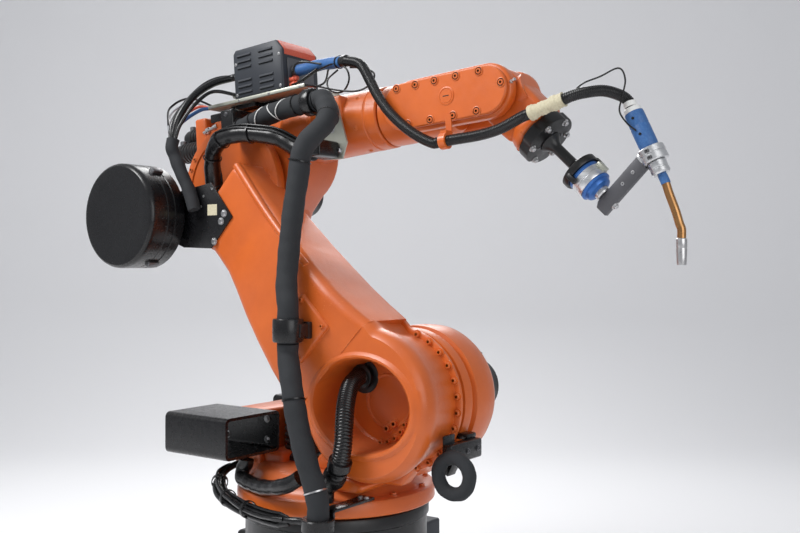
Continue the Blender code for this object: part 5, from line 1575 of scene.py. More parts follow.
@dataclass
class WristAssembly(Assembly):
    """Wrist housing with its fork and bolted side cover."""

    tube: float = 0.083
    seam: float = -0.347
    cheek: float = 0.07
    cheek_y: float = 0.0835
    slot: float = 0.0497
    slot_back: float = -0.135
    cover: float = 0.062
    cover_back: float = -0.315
    cover_y: float = -0.0955

    def build(self) -> None:
        """Builds and dresses the wrist."""
        shape = self.shape("wrist_casting", Place.WRIST, "cast_orange")
        t = self.tube
        shape.lathe(
            [(t - 0.004, self.seam), (t, self.seam + 0.004), (t, -0.3), (t - 0.001, -0.24), (t - 0.003, -0.17),
             (t - 0.006, -0.145), (t - 0.014, self.slot_back)], ORIGIN, Axis.X, 80)
        for low, high in ((-self.cheek_y, -self.slot), (self.slot, self.cheek_y)):
            shape.plate(stadium(-0.3, self.cheek, self.cheek, 20), low, high, 0.009, 4)
        seat = self.cheek_y - 0.001
        for y, way in ((-seat, Axis.NEAR), (seat, Axis.FAR)):
            shape.lathe([(0.04, 0.0), (0.04, 0.0015), (0.036, 0.0025)], (0.0, y, 0.0), way, 40)
        for spot in circle_spots((0.0, self.cheek_y, 0.0), 0.055, 8, 22.5):
            shape.screw(spot, Axis.FAR, 0.0045, 0.005)
        shape.finish("wrist", "orange_paint", ["wrist_housing"])
        self._cover()
        self.paint("pivot_pin", "steel_bright")
        self.paint("conduit_saddle", "cast_orange")

    def _cover(self) -> None:
        """Builds the side cover with its recessed bolts and its plug."""
        shape = self.shape("wrist_side_cover", Place.WRIST, "cast_orange")
        y = self.cover_y
        shape.plate(stadium(self.cover_back, self.cover, self.cover, 24), y, -self.cheek_y - 0.0003, 0.004, 3)
        shape.plate(
            stadium(self.cover_back + 0.003, self.cover - 0.003, self.cover - 0.003, 24), y - 0.0008, y + 0.002, 0.0008,
            1)
        reach = self.cover - 0.0125
        spots = [(x, reach) for x in (-0.265, -0.205, -0.145, -0.08, -0.012)]
        spots += [(x, -reach) for x in (-0.235, -0.165, -0.095, -0.025)]
        spots += [(0.049, 0.01), (-0.302, 0.0)]
        for x, z in spots:
            shape.use("cast_orange")
            shape.lathe(
                [(0.0122, 0.0), (0.0122, 0.0026), (0.0108, 0.0034), (0.01, 0.0034), (0.0096, -0.001)], (x, y, z),
                Axis.NEAR, 28)
            # Painted shade: a black disc at the bottom of each counterbore stands in for the shade round the bolt head
            shape.use("cast_black").lathe([(0.0098, 0.0), (0.0, 0.0003)], (x, y - 0.0009, z), Axis.NEAR, 20)
            shape.use("cast_orange").lathe(
                [(0.0072, 0.0), (0.0072, 0.0028), (0.0062, 0.0036), (0.0038, 0.0036)], (x, y - 0.0008, z), Axis.NEAR,
                20)
            # Painted shade: the screw's hex socket is drawn black for the shade inside it
            shape.use("cast_black").lathe(
                [(0.0038, 0.0036), (0.0036, 0.0012), (0.0, 0.001)], (x, y - 0.0008, z), Axis.NEAR, 6)
        plug = (-0.112, y, 0.004)
        shape.use("cast_orange").lathe(
            [(0.0235, 0.0), (0.0235, 0.0022), (0.022, 0.0028), (0.0195, 0.0028), (0.019, 0.0014), (0.018, 0.0014),
             (0.0175, 0.0026), (0.0, 0.0028)], plug, Axis.NEAR, 40)
        # Painted shade: a black bar stands in for the shade in the plug's slot
        shape.use("cast_black").block(
            (plug[0] - 0.009, y - 0.0034, plug[2] - 0.0012), (plug[0] + 0.009, y - 0.0022, plug[2] + 0.0012), 0.0003, 1)
        shape.use("steel_bright").lathe(
            [(0.005, -0.004), (0.005, 0.004), (0.0032, 0.006), (0.0032, 0.012), (0.0044, 0.013), (0.004, 0.017),
             (0.0, 0.018)], (0.066, -0.078, 0.01), Vector((0.92, -0.3, 0.25)), 14)
        shape.finish("wrist", "orange_paint", ["wrist_cover"])


@dataclass
class HandAssembly(Assembly):
    """Hand housing with the nose of axis 6 and the taped conduit."""

    half_width: float = 0.0447
    radius: float = 0.066
    nose: float = 0.07
    nose_end: float = 0.15

    def build(self) -> None:
        """Builds and dresses the hand."""
        shape = self.shape("hand_casting", Place.HAND, "cast_orange")
        r = self.radius
        outline = [*arc((0.0, 0.0), r, 90.0, 180.0, 24), (0.09, -r), (0.124, -r + 0.003), (0.124, r - 0.003), (0.09, r)]
        shape.plate(outline, -self.half_width, self.half_width, 0.014, 5)
        n = self.nose
        shape.lathe(
            [(0.05, 0.108), (0.06, 0.113), (0.067, 0.121), (n, 0.13), (n, 0.143), (n - 0.002, 0.147),
             (n - 0.006, self.nose_end)], ORIGIN, Axis.X, 72)
        shape.lathe(
            [(0.0, -0.02), (0.03, -0.018), (0.046, -0.006), (0.052, 0.012), (0.052, 0.03)], (0.05, 0.0, 0.032),
            Vector((0.35, 0.0, 0.9)), 48)
        shape.block((0.128, -0.094, 0.024), (0.1495, -0.035, 0.058), 0.004, 3)
        for spot in circle_spots((0.14, 0.0, 0.0), n - 0.001, 6, 15.0, plane="YZ"):
            away = Vector((0.0, spot[1], spot[2])).normalized()
            shape.screw(spot, away, 0.004, 0.003)
        shape.finish("hand", "orange_paint", ["hand_housing"])
        tape = self.shape("cream_tape", Place.HAND, "tape_cream")
        start, end = HAND_TAPE
        route = smooth_route([start, start.lerp(end, 0.35), start.lerp(end, 0.7), end], 0.002)

        def lumps(d: float) -> float:
            """Gives the wrapped tape's radius.

            Args:
                d: The distance along the wrap.

            Returns:
                The radius.
            """
            return 0.0172 + 0.0011 * math.sin(d * 210.0) + 0.0012 * math.sin(d * 90.0 + 1.2) + 0.0006 * math.sin(
                d * 700.0)

        tape.sweep(route, lumps, 28)
        tape.finish("hand", "cream_tape", ["tape_wrap"])


@dataclass
class ToolAssembly(Assembly):
    """Adapter disc, rod, collision sensor, bar and welding torch."""

    flange: float = 0.073
    flange_start: float = 0.1503
    flange_end: float = 0.185
    rod: float = 0.016
    rod_end: float = 0.31
    sensor: float = 0.0425
    body_length: float = 0.108

    def build(self) -> None:
        """Builds and dresses the tool."""
        self._flange()
        self._sensor()
        self._torch()

    def _flange(self) -> None:
        """Builds the black adapter disc and the rod."""
        shape = self.shape("adapter_disc", Place.HAND, "cast_black")
        r = self.flange

        def scallop(angle: float, radius: float) -> float:
            """Gives the disc's outline.

            Args:
                angle: The lathe's angle.
                radius: The nominal radius.

            Returns:
                The factor of the radius.
            """
            if radius < 0.06:
                return 1.0
            wave = math.cos(6.0 * angle)
            return 1.0 - 0.1 * max(0.0, -wave - 0.25)

        shape.lathe(
            [(0.05, self.flange_start), (0.05, 0.153), (r - 0.002, 0.153), (r, 0.155), (r, self.flange_end - 0.004),
             (r - 0.001, self.flange_end - 0.001), (r - 0.004, self.flange_end), (0.045, self.flange_end),
             (0.043, self.flange_end + 0.001)], ORIGIN, Axis.X, 96, squeeze=scallop)
        shape.use("steel_bright")
        for spot in circle_spots((self.flange_end, 0.0, 0.0), r - 0.013, 6, 30.0, plane="YZ"):
            shape.screw(spot, Axis.X, 0.0062, 0.008)
        for spot in circle_spots((self.flange_end, 0.0, 0.0), 0.036, 4, 45.0, plane="YZ"):
            shape.use("steel_dark").screw(spot, Axis.X, 0.004, 0.004)
        shape.finish("tool", "black_paint", ["tool_flange"])
        shape = self.shape("black_rod", Place.HAND, "cast_black")
        rod = self.rod
        shape.lathe(
            [(0.03, 0.1853), (0.03, 0.19), (0.024, 0.196), (rod + 0.001, 0.205), (rod - 0.002, 0.215),
             (rod - 0.002, 0.274), (rod + 0.006, 0.283), (0.03, 0.288), (0.045, 0.29), (0.05, 0.293), (0.05, 0.306),
             (0.048, self.rod_end)], ORIGIN, Axis.X, 56)
        for y, z in (polar(0.0475, angle) for angle in (60.0, 200.0, 320.0)):
            shape.block((0.3, y - 0.007, z - 0.007), (0.328, y + 0.007, z + 0.007), 0.003)
        shape.finish("tool", "black_paint", ["torch_rod"])

    def _sensor(self) -> None:
        """Builds the collision sensor, its nut and the bar."""
        shape = self.shape("sensor_body", Place.HAND, "blue_anodised")
        s = self.sensor
        shape.lathe(
            [(s - 0.001, 0.3103), (s + 0.0004, 0.312), (s + 0.0004, 0.3195), (s - 0.001, 0.3205)], ORIGIN, Axis.X, 56)
        shape.use("aluminium_turned").lathe(
            [(s - 0.001, 0.32), (s, 0.321), (s, 0.333), (s - 0.0015, 0.334), (s - 0.0015, 0.336), (s, 0.337), (s, 0.35),
             (s - 0.001, 0.352)], ORIGIN, Axis.X, 56)
        shape.use("zinc_pale").block((0.322, -0.01, s - 0.002), (0.35, 0.01, s + 0.009), 0.002)
        shape.finish("tool", "aluminium", ["collision_sensor"])
        shape = self.shape("sensor_end", Place.HAND, "blue_anodised")
        shape.lathe(
            [(0.04, 0.3523), (0.0415, 0.354), (0.0415, 0.358), (0.039, 0.36), (0.036, 0.3605), (0.036, 0.364),
             (0.033, 0.37), (0.024, 0.3748), (0.0, 0.375)], ORIGIN, Axis.X, 48)
        shape.use("steel_bright").lathe(
            [(0.0195, 0.374), (0.0195, 0.384), (0.0185, 0.3855), (0.017, 0.3877)], ORIGIN, Axis.X, 40)
        shape.finish("tool", "blue_anodised", ["sensor_band"])
        shape = self.shape("grey_bar", Place.HAND, "bar_grey")
        outline = [(0.388, -0.02), (0.396, -0.033), (0.4257, -0.033), (0.4257, 0.118), (0.388, 0.118)]
        shape.plate(outline, -0.009, 0.009, 0.0018, 3)
        shape.use("steel_bright")
        shape.screw((0.4257, 0.0, 0.0), Axis.X, 0.007, 0.007)
        for z in (0.052, 0.088):
            shape.screw((0.407, -0.009, z), Axis.NEAR, 0.003, 0.002)
        shape.finish("tool", "grey_bar", ["bracket_bar"])

    def _torch(self) -> None:
        """Builds the torch body, its clamp, the neck and the nozzle."""
        along, top = TORCH_WAY, HAND_TORCH
        shape = self.shape("torch_handle", Place.HAND, "tie_white")
        shape.lathe([(0.0185, 0.0), (0.0205, 0.002), (0.0212, 0.012), (0.022, 0.0125)], top, along, 40)
        shape.use("wrap_blue").lathe(
            [(0.0205, 0.012), (0.0226, 0.013), (0.0232, 0.018), (0.0234, 0.045), (0.0228, 0.047), (0.0228, 0.049),
             (0.0234, 0.051), (0.0234, 0.094), (0.0226, 0.102), (0.0205, 0.1078), (0.0, 0.108)], top, along, 48)
        side = Vector((0.0, -1.0, 0.0))
        for d in (0.03, 0.072):
            spot = top + along * d + side * 0.023
            shape.use("rubber_black").lathe([(0.0035, 0.0), (0.0035, 0.0014), (0.0, 0.0016)], spot, side, 14)
        shape.finish("tool", "blue_anodised", ["torch_body"])
        low = top + along * self.body_length
        shape = self.shape("torch_clamp_ring", Place.HAND, "aluminium_turned")
        shape.lathe(
            [(0.0165, 0.0006), (0.031, 0.0006), (0.0325, 0.002), (0.0325, 0.0155), (0.0305, 0.0165), (0.0305, 0.0195),
             (0.0325, 0.0205), (0.0325, 0.034), (0.031, 0.0358), (0.0165, 0.0358)], low, along, 56, closed=True,
            squeeze=lambda a, r: 1.0 if r < 0.02 or math.sin(a) > -0.75 else 0.93)
        shape.block((0.3885, -0.014, 0.1183), (0.4172, 0.014, 0.13), 0.002)
        shape.use("steel_dark")
        shape.screw(low + along * 0.01 + side * 0.031, side, 0.0042, 0.004)
        shape.screw(low + along * 0.027 + side * 0.031, side, 0.0042, 0.004)
        shape.finish("tool", "aluminium", ["torch_clamp"])
        shape = self.shape("torch_collar_ring", Place.HAND, "aluminium_turned")
        shape.lathe(
            [(0.0155, 0.001), (0.0155, 0.0363), (0.021, 0.0365), (0.0225, 0.038), (0.0225, 0.05), (0.0215, 0.0515),
             (0.0215, 0.054), (0.0225, 0.0555), (0.0225, 0.064), (0.019, 0.0679), (0.0, 0.068)], low, along, 48)
        shape.finish("tool", "aluminium", ["torch_collar"])
        start = low + along * 0.0683
        down = (Matrix.Rotation(-HAND_DROP, 3, "Y") @ Vector((0.0, 0.0, -1.0))).normalized()
        end = Vector((0.5974, 0.0, 0.0545))
        route = smooth_route(
            [start, start + along * 0.02, (0.5042, 0.0, 0.1088), (0.5428, 0.0, 0.0905), (0.5709, 0.0, 0.075),
             end - down * 0.02, end], 0.004)
        shape = self.shape("curved_neck", Place.HAND, "wrap_blue")
        shape.sweep(route[:7], lambda d: 0.0112 if d > 0.002 else 0.0104, 28)
        shape.use("bronze_neck").sweep(route[6:], lambda d: 0.0102, 28)
        shape.finish("tool", "bronze_neck", ["torch_neck"])
        shape = self.shape("gas_nozzle", Place.HAND, "steel_bright")
        shape.lathe(
            [(0.0105, 0.0003), (0.0122, 0.002), (0.0127, 0.006), (0.0127, 0.02), (0.012, 0.022), (0.012, 0.024),
             (0.0126, 0.026), (0.0118, 0.048), (0.011, 0.0595), (0.0105, 0.062), (0.0088, 0.062), (0.0086, 0.045),
             (0.0, 0.044)], end, down, 40)
        shape.use("bronze_neck").lathe([(0.004, 0.04), (0.004, 0.058), (0.0025, 0.0615)], end, down, 20)
        shape.finish("tool", "bright_steel", ["torch_nozzle"])


@dataclass
class HoseSet(Assembly):
    """The foam sleeve, the hoses and the thin cables, each split where it crosses a joint."""

    elbow: float = 0.0245
    curl: float = 0.0215
    wrap: float = 0.02
    cable: float = 0.011
    hub: float = 0.024
    conduit: float = 0.014
    conduit_step: float = 0.00105
    conduit_rib: float = 0.0011
    hub_rib: float = 0.0024
    flank: float = 0.0098
    foam_step: float = 0.006
    outlet: float = 0.0175
    lead: float = 0.0021
    loop_wire: float = 0.0027
    strands: Tuple[Tuple[str, float, float, float, Tuple[Point, ...], Point], ...] = (
        ("rubber_black", 0.0085, -0.0095, 0.0,
         ((-0.448, -0.222, 1.6), (-0.452, -0.165, 1.668), (-0.436, -0.105, 1.728), (-0.4, -0.06, 1.752)),
         (0.021, -0.02, 0.345)),
        ("rubber_black", 0.0055, 0.009, 0.0,
         ((-0.412, -0.226, 1.59), (-0.392, -0.19, 1.65), (-0.386, -0.12, 1.7)), (0.021, -0.062, 0.29)),
        ("cable_grey", 0.003, -0.004, 0.001,
         ((-0.47, -0.222, 1.59), (-0.52, -0.16, 1.646), (-0.5, -0.105, 1.678)), (-0.074, -0.06, 0.2625)),
        ("rubber_black", 0.0035, -0.012, 0.0,
         ((-0.478, -0.215, 1.6), (-0.531, -0.16, 1.66), (-0.505, -0.1, 1.694)), (-0.074, -0.045, 0.2625)),
        ("plug_red", 0.004, -0.014, 0.001,
         ((-0.462, -0.215, 1.575), (-0.487, -0.16, 1.622), (-0.47, -0.1, 1.664)), (-0.074, -0.078, 0.262)),
        ("wrap_blue", 0.0055, 0.0, 0.0015,
         ((-0.444, -0.215, 1.58), (-0.456, -0.165, 1.617), (-0.446, -0.115, 1.65)), (-0.074, -0.09, 0.262)))
    feeder_wires: Tuple[Tuple[Point, Point, Point, float], ...] = (
        ((0.2265, -0.052, 0.2863), (0.275, -0.075, 0.282), (0.335, -0.06, 0.312), 0.0035),
        ((0.2265, -0.052, 0.3023), (0.285, -0.085, 0.335), (0.36, -0.07, 0.32), 0.003),
        ((0.2265, 0.02, 0.2863), (0.3, 0.01, 0.288), (0.365, -0.045, 0.308), 0.003))
    gap: float = 0.0003

    def build(self) -> None:
        """Builds every hose."""
        self._sleeve()
        self._hub()
        self._elbow()
        self._feeder()
        self._torch()
        self._column()

    def hose(
            self, name: str, route: Sequence[Vector], radius: Callable[[float], float], finish: str = "rubber_black",
            sides: int = 36) -> Shape:
        """Starts a hose's piece.

        Args:
            name: The piece's name.
            route: The hose's route.
            radius: Gives the radius at a distance along it.
            finish: The material's name.
            sides: Sides of the hose.

        Returns:
            The shape.
        """
        return self.shape(name, Place.WORLD, finish).sweep(route, radius, sides)

    @staticmethod
    def _world(place: Place, *points: Point) -> List[Vector]:
        """Gives points of a frame in world coordinates.

        Args:
            place: The frame.
            points: The points.

        Returns:
            The world points.
        """
        return [place.matrix() @ Vector(p) for p in points]

    @staticmethod
    def _at(route: Sequence[Vector], distance: float) -> Tuple[Vector, Vector]:
        """Finds a route's point and direction at a distance.

        Args:
            route: The route.
            distance: The distance along it.

        Returns:
            The point and the direction.
        """
        walked = 0.0
        for p, q in zip(route, route[1:]):
            step = (q - p).length
            if walked + step >= distance:
                return p.lerp(q, (distance - walked) / step), (q - p).normalized()
            walked += step
        return route[-1], (route[-1] - route[-2]).normalized()

    @staticmethod
    def _ribbed(radius: float, route: Sequence[Vector], depth: float) -> Callable[[float], float]:
        """Gives the radius of a ribbed hose, with one rib on every four points of its route.

        Args:
            radius: The ribs' radius.
            route: The hose's route.
            depth: The ribs' depth.

        Returns:
            The radius at a distance.
        """
        pitch = RIB_POINTS * route_length(route) / (len(route) - 1)
        return lambda d: radius - depth * (0.5 - 0.5 * math.cos(math.tau * d / pitch)) ** 2

    @staticmethod
    def _foam(radius: float, seed: float) -> Callable[[float], float]:
        """Gives the radius of a soft sleeve.

        Args:
            radius: The sleeve's radius.
            seed: Shifts its unevenness.

        Returns:
            The radius at a distance.
        """
        return lambda d: radius - 0.0008 + 0.0006 * math.sin(d * 61.0 + seed) + 0.0004 * math.sin(
            d * 143.0 + seed * 2.3)

    def _tie(
            self, shape: Shape, route: Sequence[Vector], distance: float, radius: float, finish: str, tilt: float = 0.0,
            width: float = 0.0045, proud: float = 0.0016) -> None:
        """Puts a narrow tie round a hose.

        Args:
            shape: The hose's shape.
            route: The hose's route.
            distance: Where the tie is.
            radius: The hose's radius.
            finish: The tie's material.
            tilt: Turns the tie from square, in degrees.
            width: The tie's width.
            proud: How far it stands out of the hose.
        """
        point, along = self._at(route, distance)
        side = ring_frame(along)[0]
        shape.use(finish).band(
            point, Matrix.Rotation(math.radians(tilt), 3, side) @ along,
            radius / max(0.7, math.cos(math.radians(tilt))) ** 0.5, width, proud)

    def _sleeve(self) -> None:
        """Builds the foam sleeve from the column's clamp to the arm."""
        x, y, z = ARM_RING
        ring = self._world(Place.ARM, (x + 0.022 + self.gap, y, z), (x + 0.044, y, z))
        points = self._world(
            Place.ARM, (0.0953, -0.1355, 0.168), (0.115, -0.1355, 0.168), (0.1957, -0.138, 0.186),
            (0.2711, -0.143, 0.1935), (x - 0.05, y, z), (x - 0.025, y, z), (x + 0.022, y, z))
        route = smooth_route(points, self.foam_step)
        shape = self.hose("foam_sleeve_arm", route, self._foam(SLEEVE_RADIUS, 0.4), "foam_grey")
        for distance, tilt in ((0.095, -36.0), (0.15, 30.0), (0.185, -34.0)):
            self._tie(shape, route, distance, SLEEVE_RADIUS, "tie_white", tilt, 0.0026, 0.001)
        for distance in (0.06, 0.245):
            self._tie(shape, route, distance, SLEEVE_RADIUS, "rubber_black", 4.0)
        shape.finish("arm", "foam_sleeve", ["sleeve_on_arm"])

        cx, cy, cz = SLEEVE_CLIP
        points = [
            *ring, (0.106, -0.173, 1.603), (0.132, -0.196, 1.574), (0.138, -0.22, 1.545), (0.122, -0.238, 1.52),
            (0.1, -0.251, 1.492), (0.089, -0.26, 1.455), (0.087, -0.265, 1.41), (0.079, -0.272, 1.34),
            (0.075, -0.282, 1.26), (0.074, -0.291, 1.185), (0.08, -0.304, 1.12), (cx, cy, cz + 0.062),
            (cx, cy, cz + 0.04), (cx, cy, cz - 0.034)]
        route = smooth_route(points, self.foam_step)
        shape = self.hose("foam_sleeve_upper", route, self._foam(SLEEVE_RADIUS, 1.7), "foam_grey")
        for distance, tilt in ((0.12, 10.0), (0.27, -8.0)):
            self._tie(shape, route, distance, SLEEVE_RADIUS, "rubber_black", tilt)
        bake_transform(shape.finish("", "foam_sleeve", ["sleeve_hose_upper"]))

        kx, ky = SLEEVE_CLAMP
        points = [
            (cx, cy, cz - 0.034 - self.gap), (cx, cy, cz - 0.066), (0.122, -0.332, 0.87), (0.152, -0.345, 0.785),
            (0.186, -0.35, 0.69), (0.212, ky, 0.622), (kx, ky, 0.575), (kx, ky, 0.555), (kx, ky, 0.46)]
        route = smooth_route(points, self.foam_step)
        shape = self.hose("foam_sleeve_lower", route, self._foam(SLEEVE_RADIUS, 3.1), "foam_grey")
        self._tie(shape, route, 0.385, SLEEVE_RADIUS, "steel_bright", 2.0)
        self._tie(shape, route, 0.15, SLEEVE_RADIUS, "rubber_black", -6.0)
        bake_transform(shape.finish("", "foam_sleeve", ["sleeve_hose_lower"]))

    def _hub(self) -> None:
        """Builds the ribbed hose between the column and the link's recess."""
        points = [
            (0.2, -0.1303, 0.875), (0.2, -0.155, 0.875), (0.211, -0.203, 0.857), (0.233, -0.248, 0.82),
            (0.254, -0.281, 0.775), (0.262, -0.296, 0.722), (0.248, -0.293, 0.67), (0.212, -0.276, 0.625),
            (0.172, -0.252, 0.595), (0.154, -0.24, 0.575), (0.154, -0.24, 0.5528)]
        route = smooth_route(points, 0.0019)
        shape = self.hose("ribbed_hub_hose", route, self._ribbed(self.hub, route, self.hub_rib), "rubber_black", 30)
        total = route_length(route)
        for distance, width, reach in (
                (total - 0.172, 0.026, 0.0065), (total - 0.15, 0.012, 0.003), (total - 0.122, 0.026, 0.0065),
                (total - 0.098, 0.018, 0.0015), (total - 0.012, 0.02, 0.003)):
            point, along = self._at(route, distance)
            shape.band(point, along, self.hub, width, reach)
        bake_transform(shape.finish("", "black_rubber", ["hub_hose"]))

    def _elbow(self) -> None:
        """Builds the glossy hose behind the elbow and the thin cables on it."""
        beam = self._world(
            Place.LINK, (-0.031, -0.15, LINK_LENGTH - 0.045 + self.gap), (-0.031, -0.15, LINK_LENGTH - 0.015))
        low = Place.ARM.local(HOSE_SOCKET)
        block = self._world(
            Place.ARM, (low.x - 0.03, -0.158, low.z + 0.0225), (low.x - self.gap, -0.158, low.z + 0.0225))
        points = [
            *beam, (-0.352, -0.151, 1.418), (-0.345, -0.162, 1.468), (-0.314, -0.184, 1.512), (-0.261, -0.202, 1.537),
            (-0.19, -0.2, 1.547), (-0.122, -0.188, 1.541), (-0.065, -0.174, 1.527), *block]
        route = smooth_route(points, 0.005)
        shape = self.hose("elbow_sleeve", route, self._foam(self.elbow, 0.9))
        for turn, lift in ((0.9, 0.0012), (1.5, 0.0018), (2.2, 0.0012)):
            offset = [
                self._beside(route, i, self.elbow + lift, turn + 0.35 * math.sin(i * 0.06))
                for i in range(6, len(route) - 6)]
            shape.use("rubber_black").sweep(offset, lambda d: 0.0034, 12)
        for distance in (0.16, 0.25, 0.36):
            self._tie(shape, route, distance, self.elbow + 0.002, "rubber_black", 8.0)
        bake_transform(shape.finish("", "black_rubber", ["elbow_hose"]))

    @staticmethod
    def _beside(route: Sequence[Vector], index: int, reach: float, turn: float) -> Vector:
        """Finds a point on the surface of a hose.

        Args:
            route: The hose's route.
            index: The route's point.
            reach: The distance from the route.
            turn: The angle round it.

        Returns:
            The point.
        """
        along = (route[index + 1] - route[index - 1]).normalized()
        side = along.cross(Vector((0.0, 0.0, 1.0))).normalized()
        up = side.cross(along)
        return route[index] + (side * math.cos(turn) + up * math.sin(turn)) * reach

    def _feeder(self) -> None:
        """Builds the dark foam sleeve on the link, the cable above it and the blue wrap in front of the feeder."""
        wrap_y = -0.2063 - self.wrap
        top = Vector((-0.428, -0.24, 1.545))
        up = Vector((0.0, 0.02, 0.1)).normalized()
        points = [
            (-0.352, wrap_y, 1.335), (-0.3615, wrap_y, 1.362), (-0.376, wrap_y, 1.395), (-0.4, -0.233, 1.445),
            (-0.422, -0.238, 1.495), top - up * 0.0255, top]
        route = smooth_route(points, 0.003)

        def wound(radius: float) -> Callable[[float], float]:
            """Gives the radius of a tape-wound bundle.

            Args:
                radius: The bundle's radius.

            Returns:
                The radius at a distance.
            """
            return lambda d: radius - 0.0008 + 0.0007 * math.sin(d * 80.0) - 0.0007 * ((d * 55.0) % 1.0)

        shape = self.hose("dark_sleeve_link", route, self._foam(self.wrap, 5.0), "foam_grey", 32)
        shape.finish("link", "foam_sleeve", ["spool_sleeve"])
        rear = self._world(Place.ARM, (-0.018, -0.05, 0.352), (0.0217, -0.05, 0.352))
        points = [
            top + up * self.gap, top + up * 0.025, (-0.423, -0.218, 1.62), (-0.416, -0.172, 1.68),
            (-0.405, -0.105, 1.728), *rear]
        shape = self.hose("feeder_lead", smooth_route(points, 0.004), lambda d: self.cable, "rubber_black", 22)
        side = Vector((1.0, 0.0, 0.0))
        low = top + up * 0.001
        for finish, thick, across, rise, path, end in self.strands:
            start = low + side * across + up * rise
            strand = smooth_route([start, *path, *self._world(Place.ARM, end)], self.foam_step)
            shape.use(finish).sweep(strand, lambda d, t=thick: t, 14)
        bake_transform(shape.finish("", "dark_grey_plastic", ["feeder_cable"]))
        points = self._world(
            Place.ARM, (0.2223, -0.03, 0.33), (0.25, -0.031, 0.33), (0.33, -0.045, 0.326), (0.4, -0.0655, 0.3155),
            ARM_OUTLET)
        route = smooth_route(points, 0.003)
        shape = self.hose("blue_wrap_arm", route, wound(self.outlet), "wrap_blue", 32)
        shape.use("steel_dark").band(*self._at(route, 0.01), self.outlet, 0.014, 0.0025)
        self._tie(shape, route, 0.215, 0.0172, "rubber_black", 0.0)
        for start, middle, end, thick in self.feeder_wires:
            wire = smooth_route(self._world(Place.ARM, start, middle, end), self.foam_step)
            shape.use("rubber_black").sweep(wire, lambda d, t=thick: t, 12)
        for wire in (
                [(-0.086, -0.05, 1.711), (-0.011, -0.07, 1.729), (0.063, -0.085, 1.737), (0.108, -0.09, 1.716),
                 (0.117, -0.09, 1.682), (0.089, -0.085, 1.655), (0.037, -0.075, 1.666), (0.018, -0.062, 1.7),
                 (0.047, -0.05, 1.728)],
                [(-0.097, -0.05, 1.701), (-0.04, -0.08, 1.688), (0.014, -0.1, 1.676), (0.09, -0.112, 1.656),
                 (0.165, -0.112, 1.646), (0.205, -0.106, 1.662), (0.21, -0.098, 1.69), (0.165, -0.088, 1.712),
                 (0.11, -0.075, 1.722)]):
            shape.sweep(smooth_route(wire, 0.006), lambda d: self.loop_wire, 12)
        shape.finish("arm", "foam_sleeve", ["feeder_outlet"])

    def _conduit(self, name: str, points: Sequence[Point]) -> Tuple[Shape, List[Vector]]:
        """Starts a length of the torch's conduit.

        Args:
            name: The piece's name.
            points: The points that it passes.

        Returns:
            The shape and the route.
        """
        route = smooth_route(points, self.conduit_step)
        return self.hose(name, route, self._ribbed(self.conduit, route, self.conduit_rib), "rubber_black", 22), route

    def _torch(self) -> None:
        """Builds the torch's conduit in its three lengths."""
        outlet = Vector(ARM_OUTLET)
        onward = (outlet - Vector((0.4, -0.0655, 0.3155))).normalized()
        saddle = Vector((-0.108, -0.122, -0.1165))
        ahead = Vector((1.0, 0.0, 0.0))
        tape_start, tape_end = HAND_TAPE
        tape_way = (tape_end - tape_start).normalized()
        points = [
            *self._world(Place.ARM, outlet + onward * self.gap, outlet + onward * 0.03), (0.166, -0.1, 1.718),
            (0.206, -0.114, 1.672), (0.238, -0.12, 1.625), (0.277, -0.122, 1.578), (0.324, -0.122, 1.536),
            (0.374, -0.122, 1.503), *self._world(Place.WRIST, saddle - ahead * 0.035, saddle - ahead * 0.02, saddle
             + ahead * 0.018)]
        shape, route = self._conduit("conduit_rear", points)
        shape.band(*self._at(route, 0.014), self.conduit, 0.022, 0.0022)
        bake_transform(shape.finish("", "black_rubber", ["torch_conduit_rear"]))

        points = [
            *self._world(Place.WRIST, saddle + ahead * (0.018 + self.gap), saddle + ahead * 0.04),
            (0.556, -0.121, 1.494), (0.61, -0.116, 1.506), *self._world(Place.HAND, tape_start - tape_way * 0.025,
             tape_start - tape_way * self.gap)]
        shape, route = self._conduit("conduit_middle", points)
        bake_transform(shape.finish("", "black_rubber", ["torch_conduit_middle"]))

        points = [
            *self._world(Place.HAND, tape_end + tape_way * self.gap, tape_end + tape_way * 0.02),
            (0.8183, -0.0911, 1.5753), (0.851, -0.054, 1.5821), (0.8769, -0.0169, 1.5742),
            *self._world(Place.HAND, HAND_TORCH - TORCH_WAY * 0.02, HAND_TORCH - TORCH_WAY * self.gap)]
        shape, route = self._conduit("conduit_front", points)
        total = route_length(route)
        shape.use("tie_white").band(*self._at(route, total - 0.008), self.conduit, 0.014, 0.002)
        lead = [
            (0.792, -0.094, 1.58), (0.822, -0.1, 1.596), (0.857, -0.085, 1.61), (0.893, -0.062, 1.629),
            (0.903, -0.048, 1.603), (0.891, -0.04, 1.563), (0.884, -0.036, 1.533), (0.9, -0.032, 1.505),
            (0.92, -0.024, 1.486)]
        shape.use("rubber_black").sweep(smooth_route(lead, 0.005), lambda d: self.lead, 12)
        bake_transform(shape.finish("", "black_rubber", ["torch_conduit_front"]))

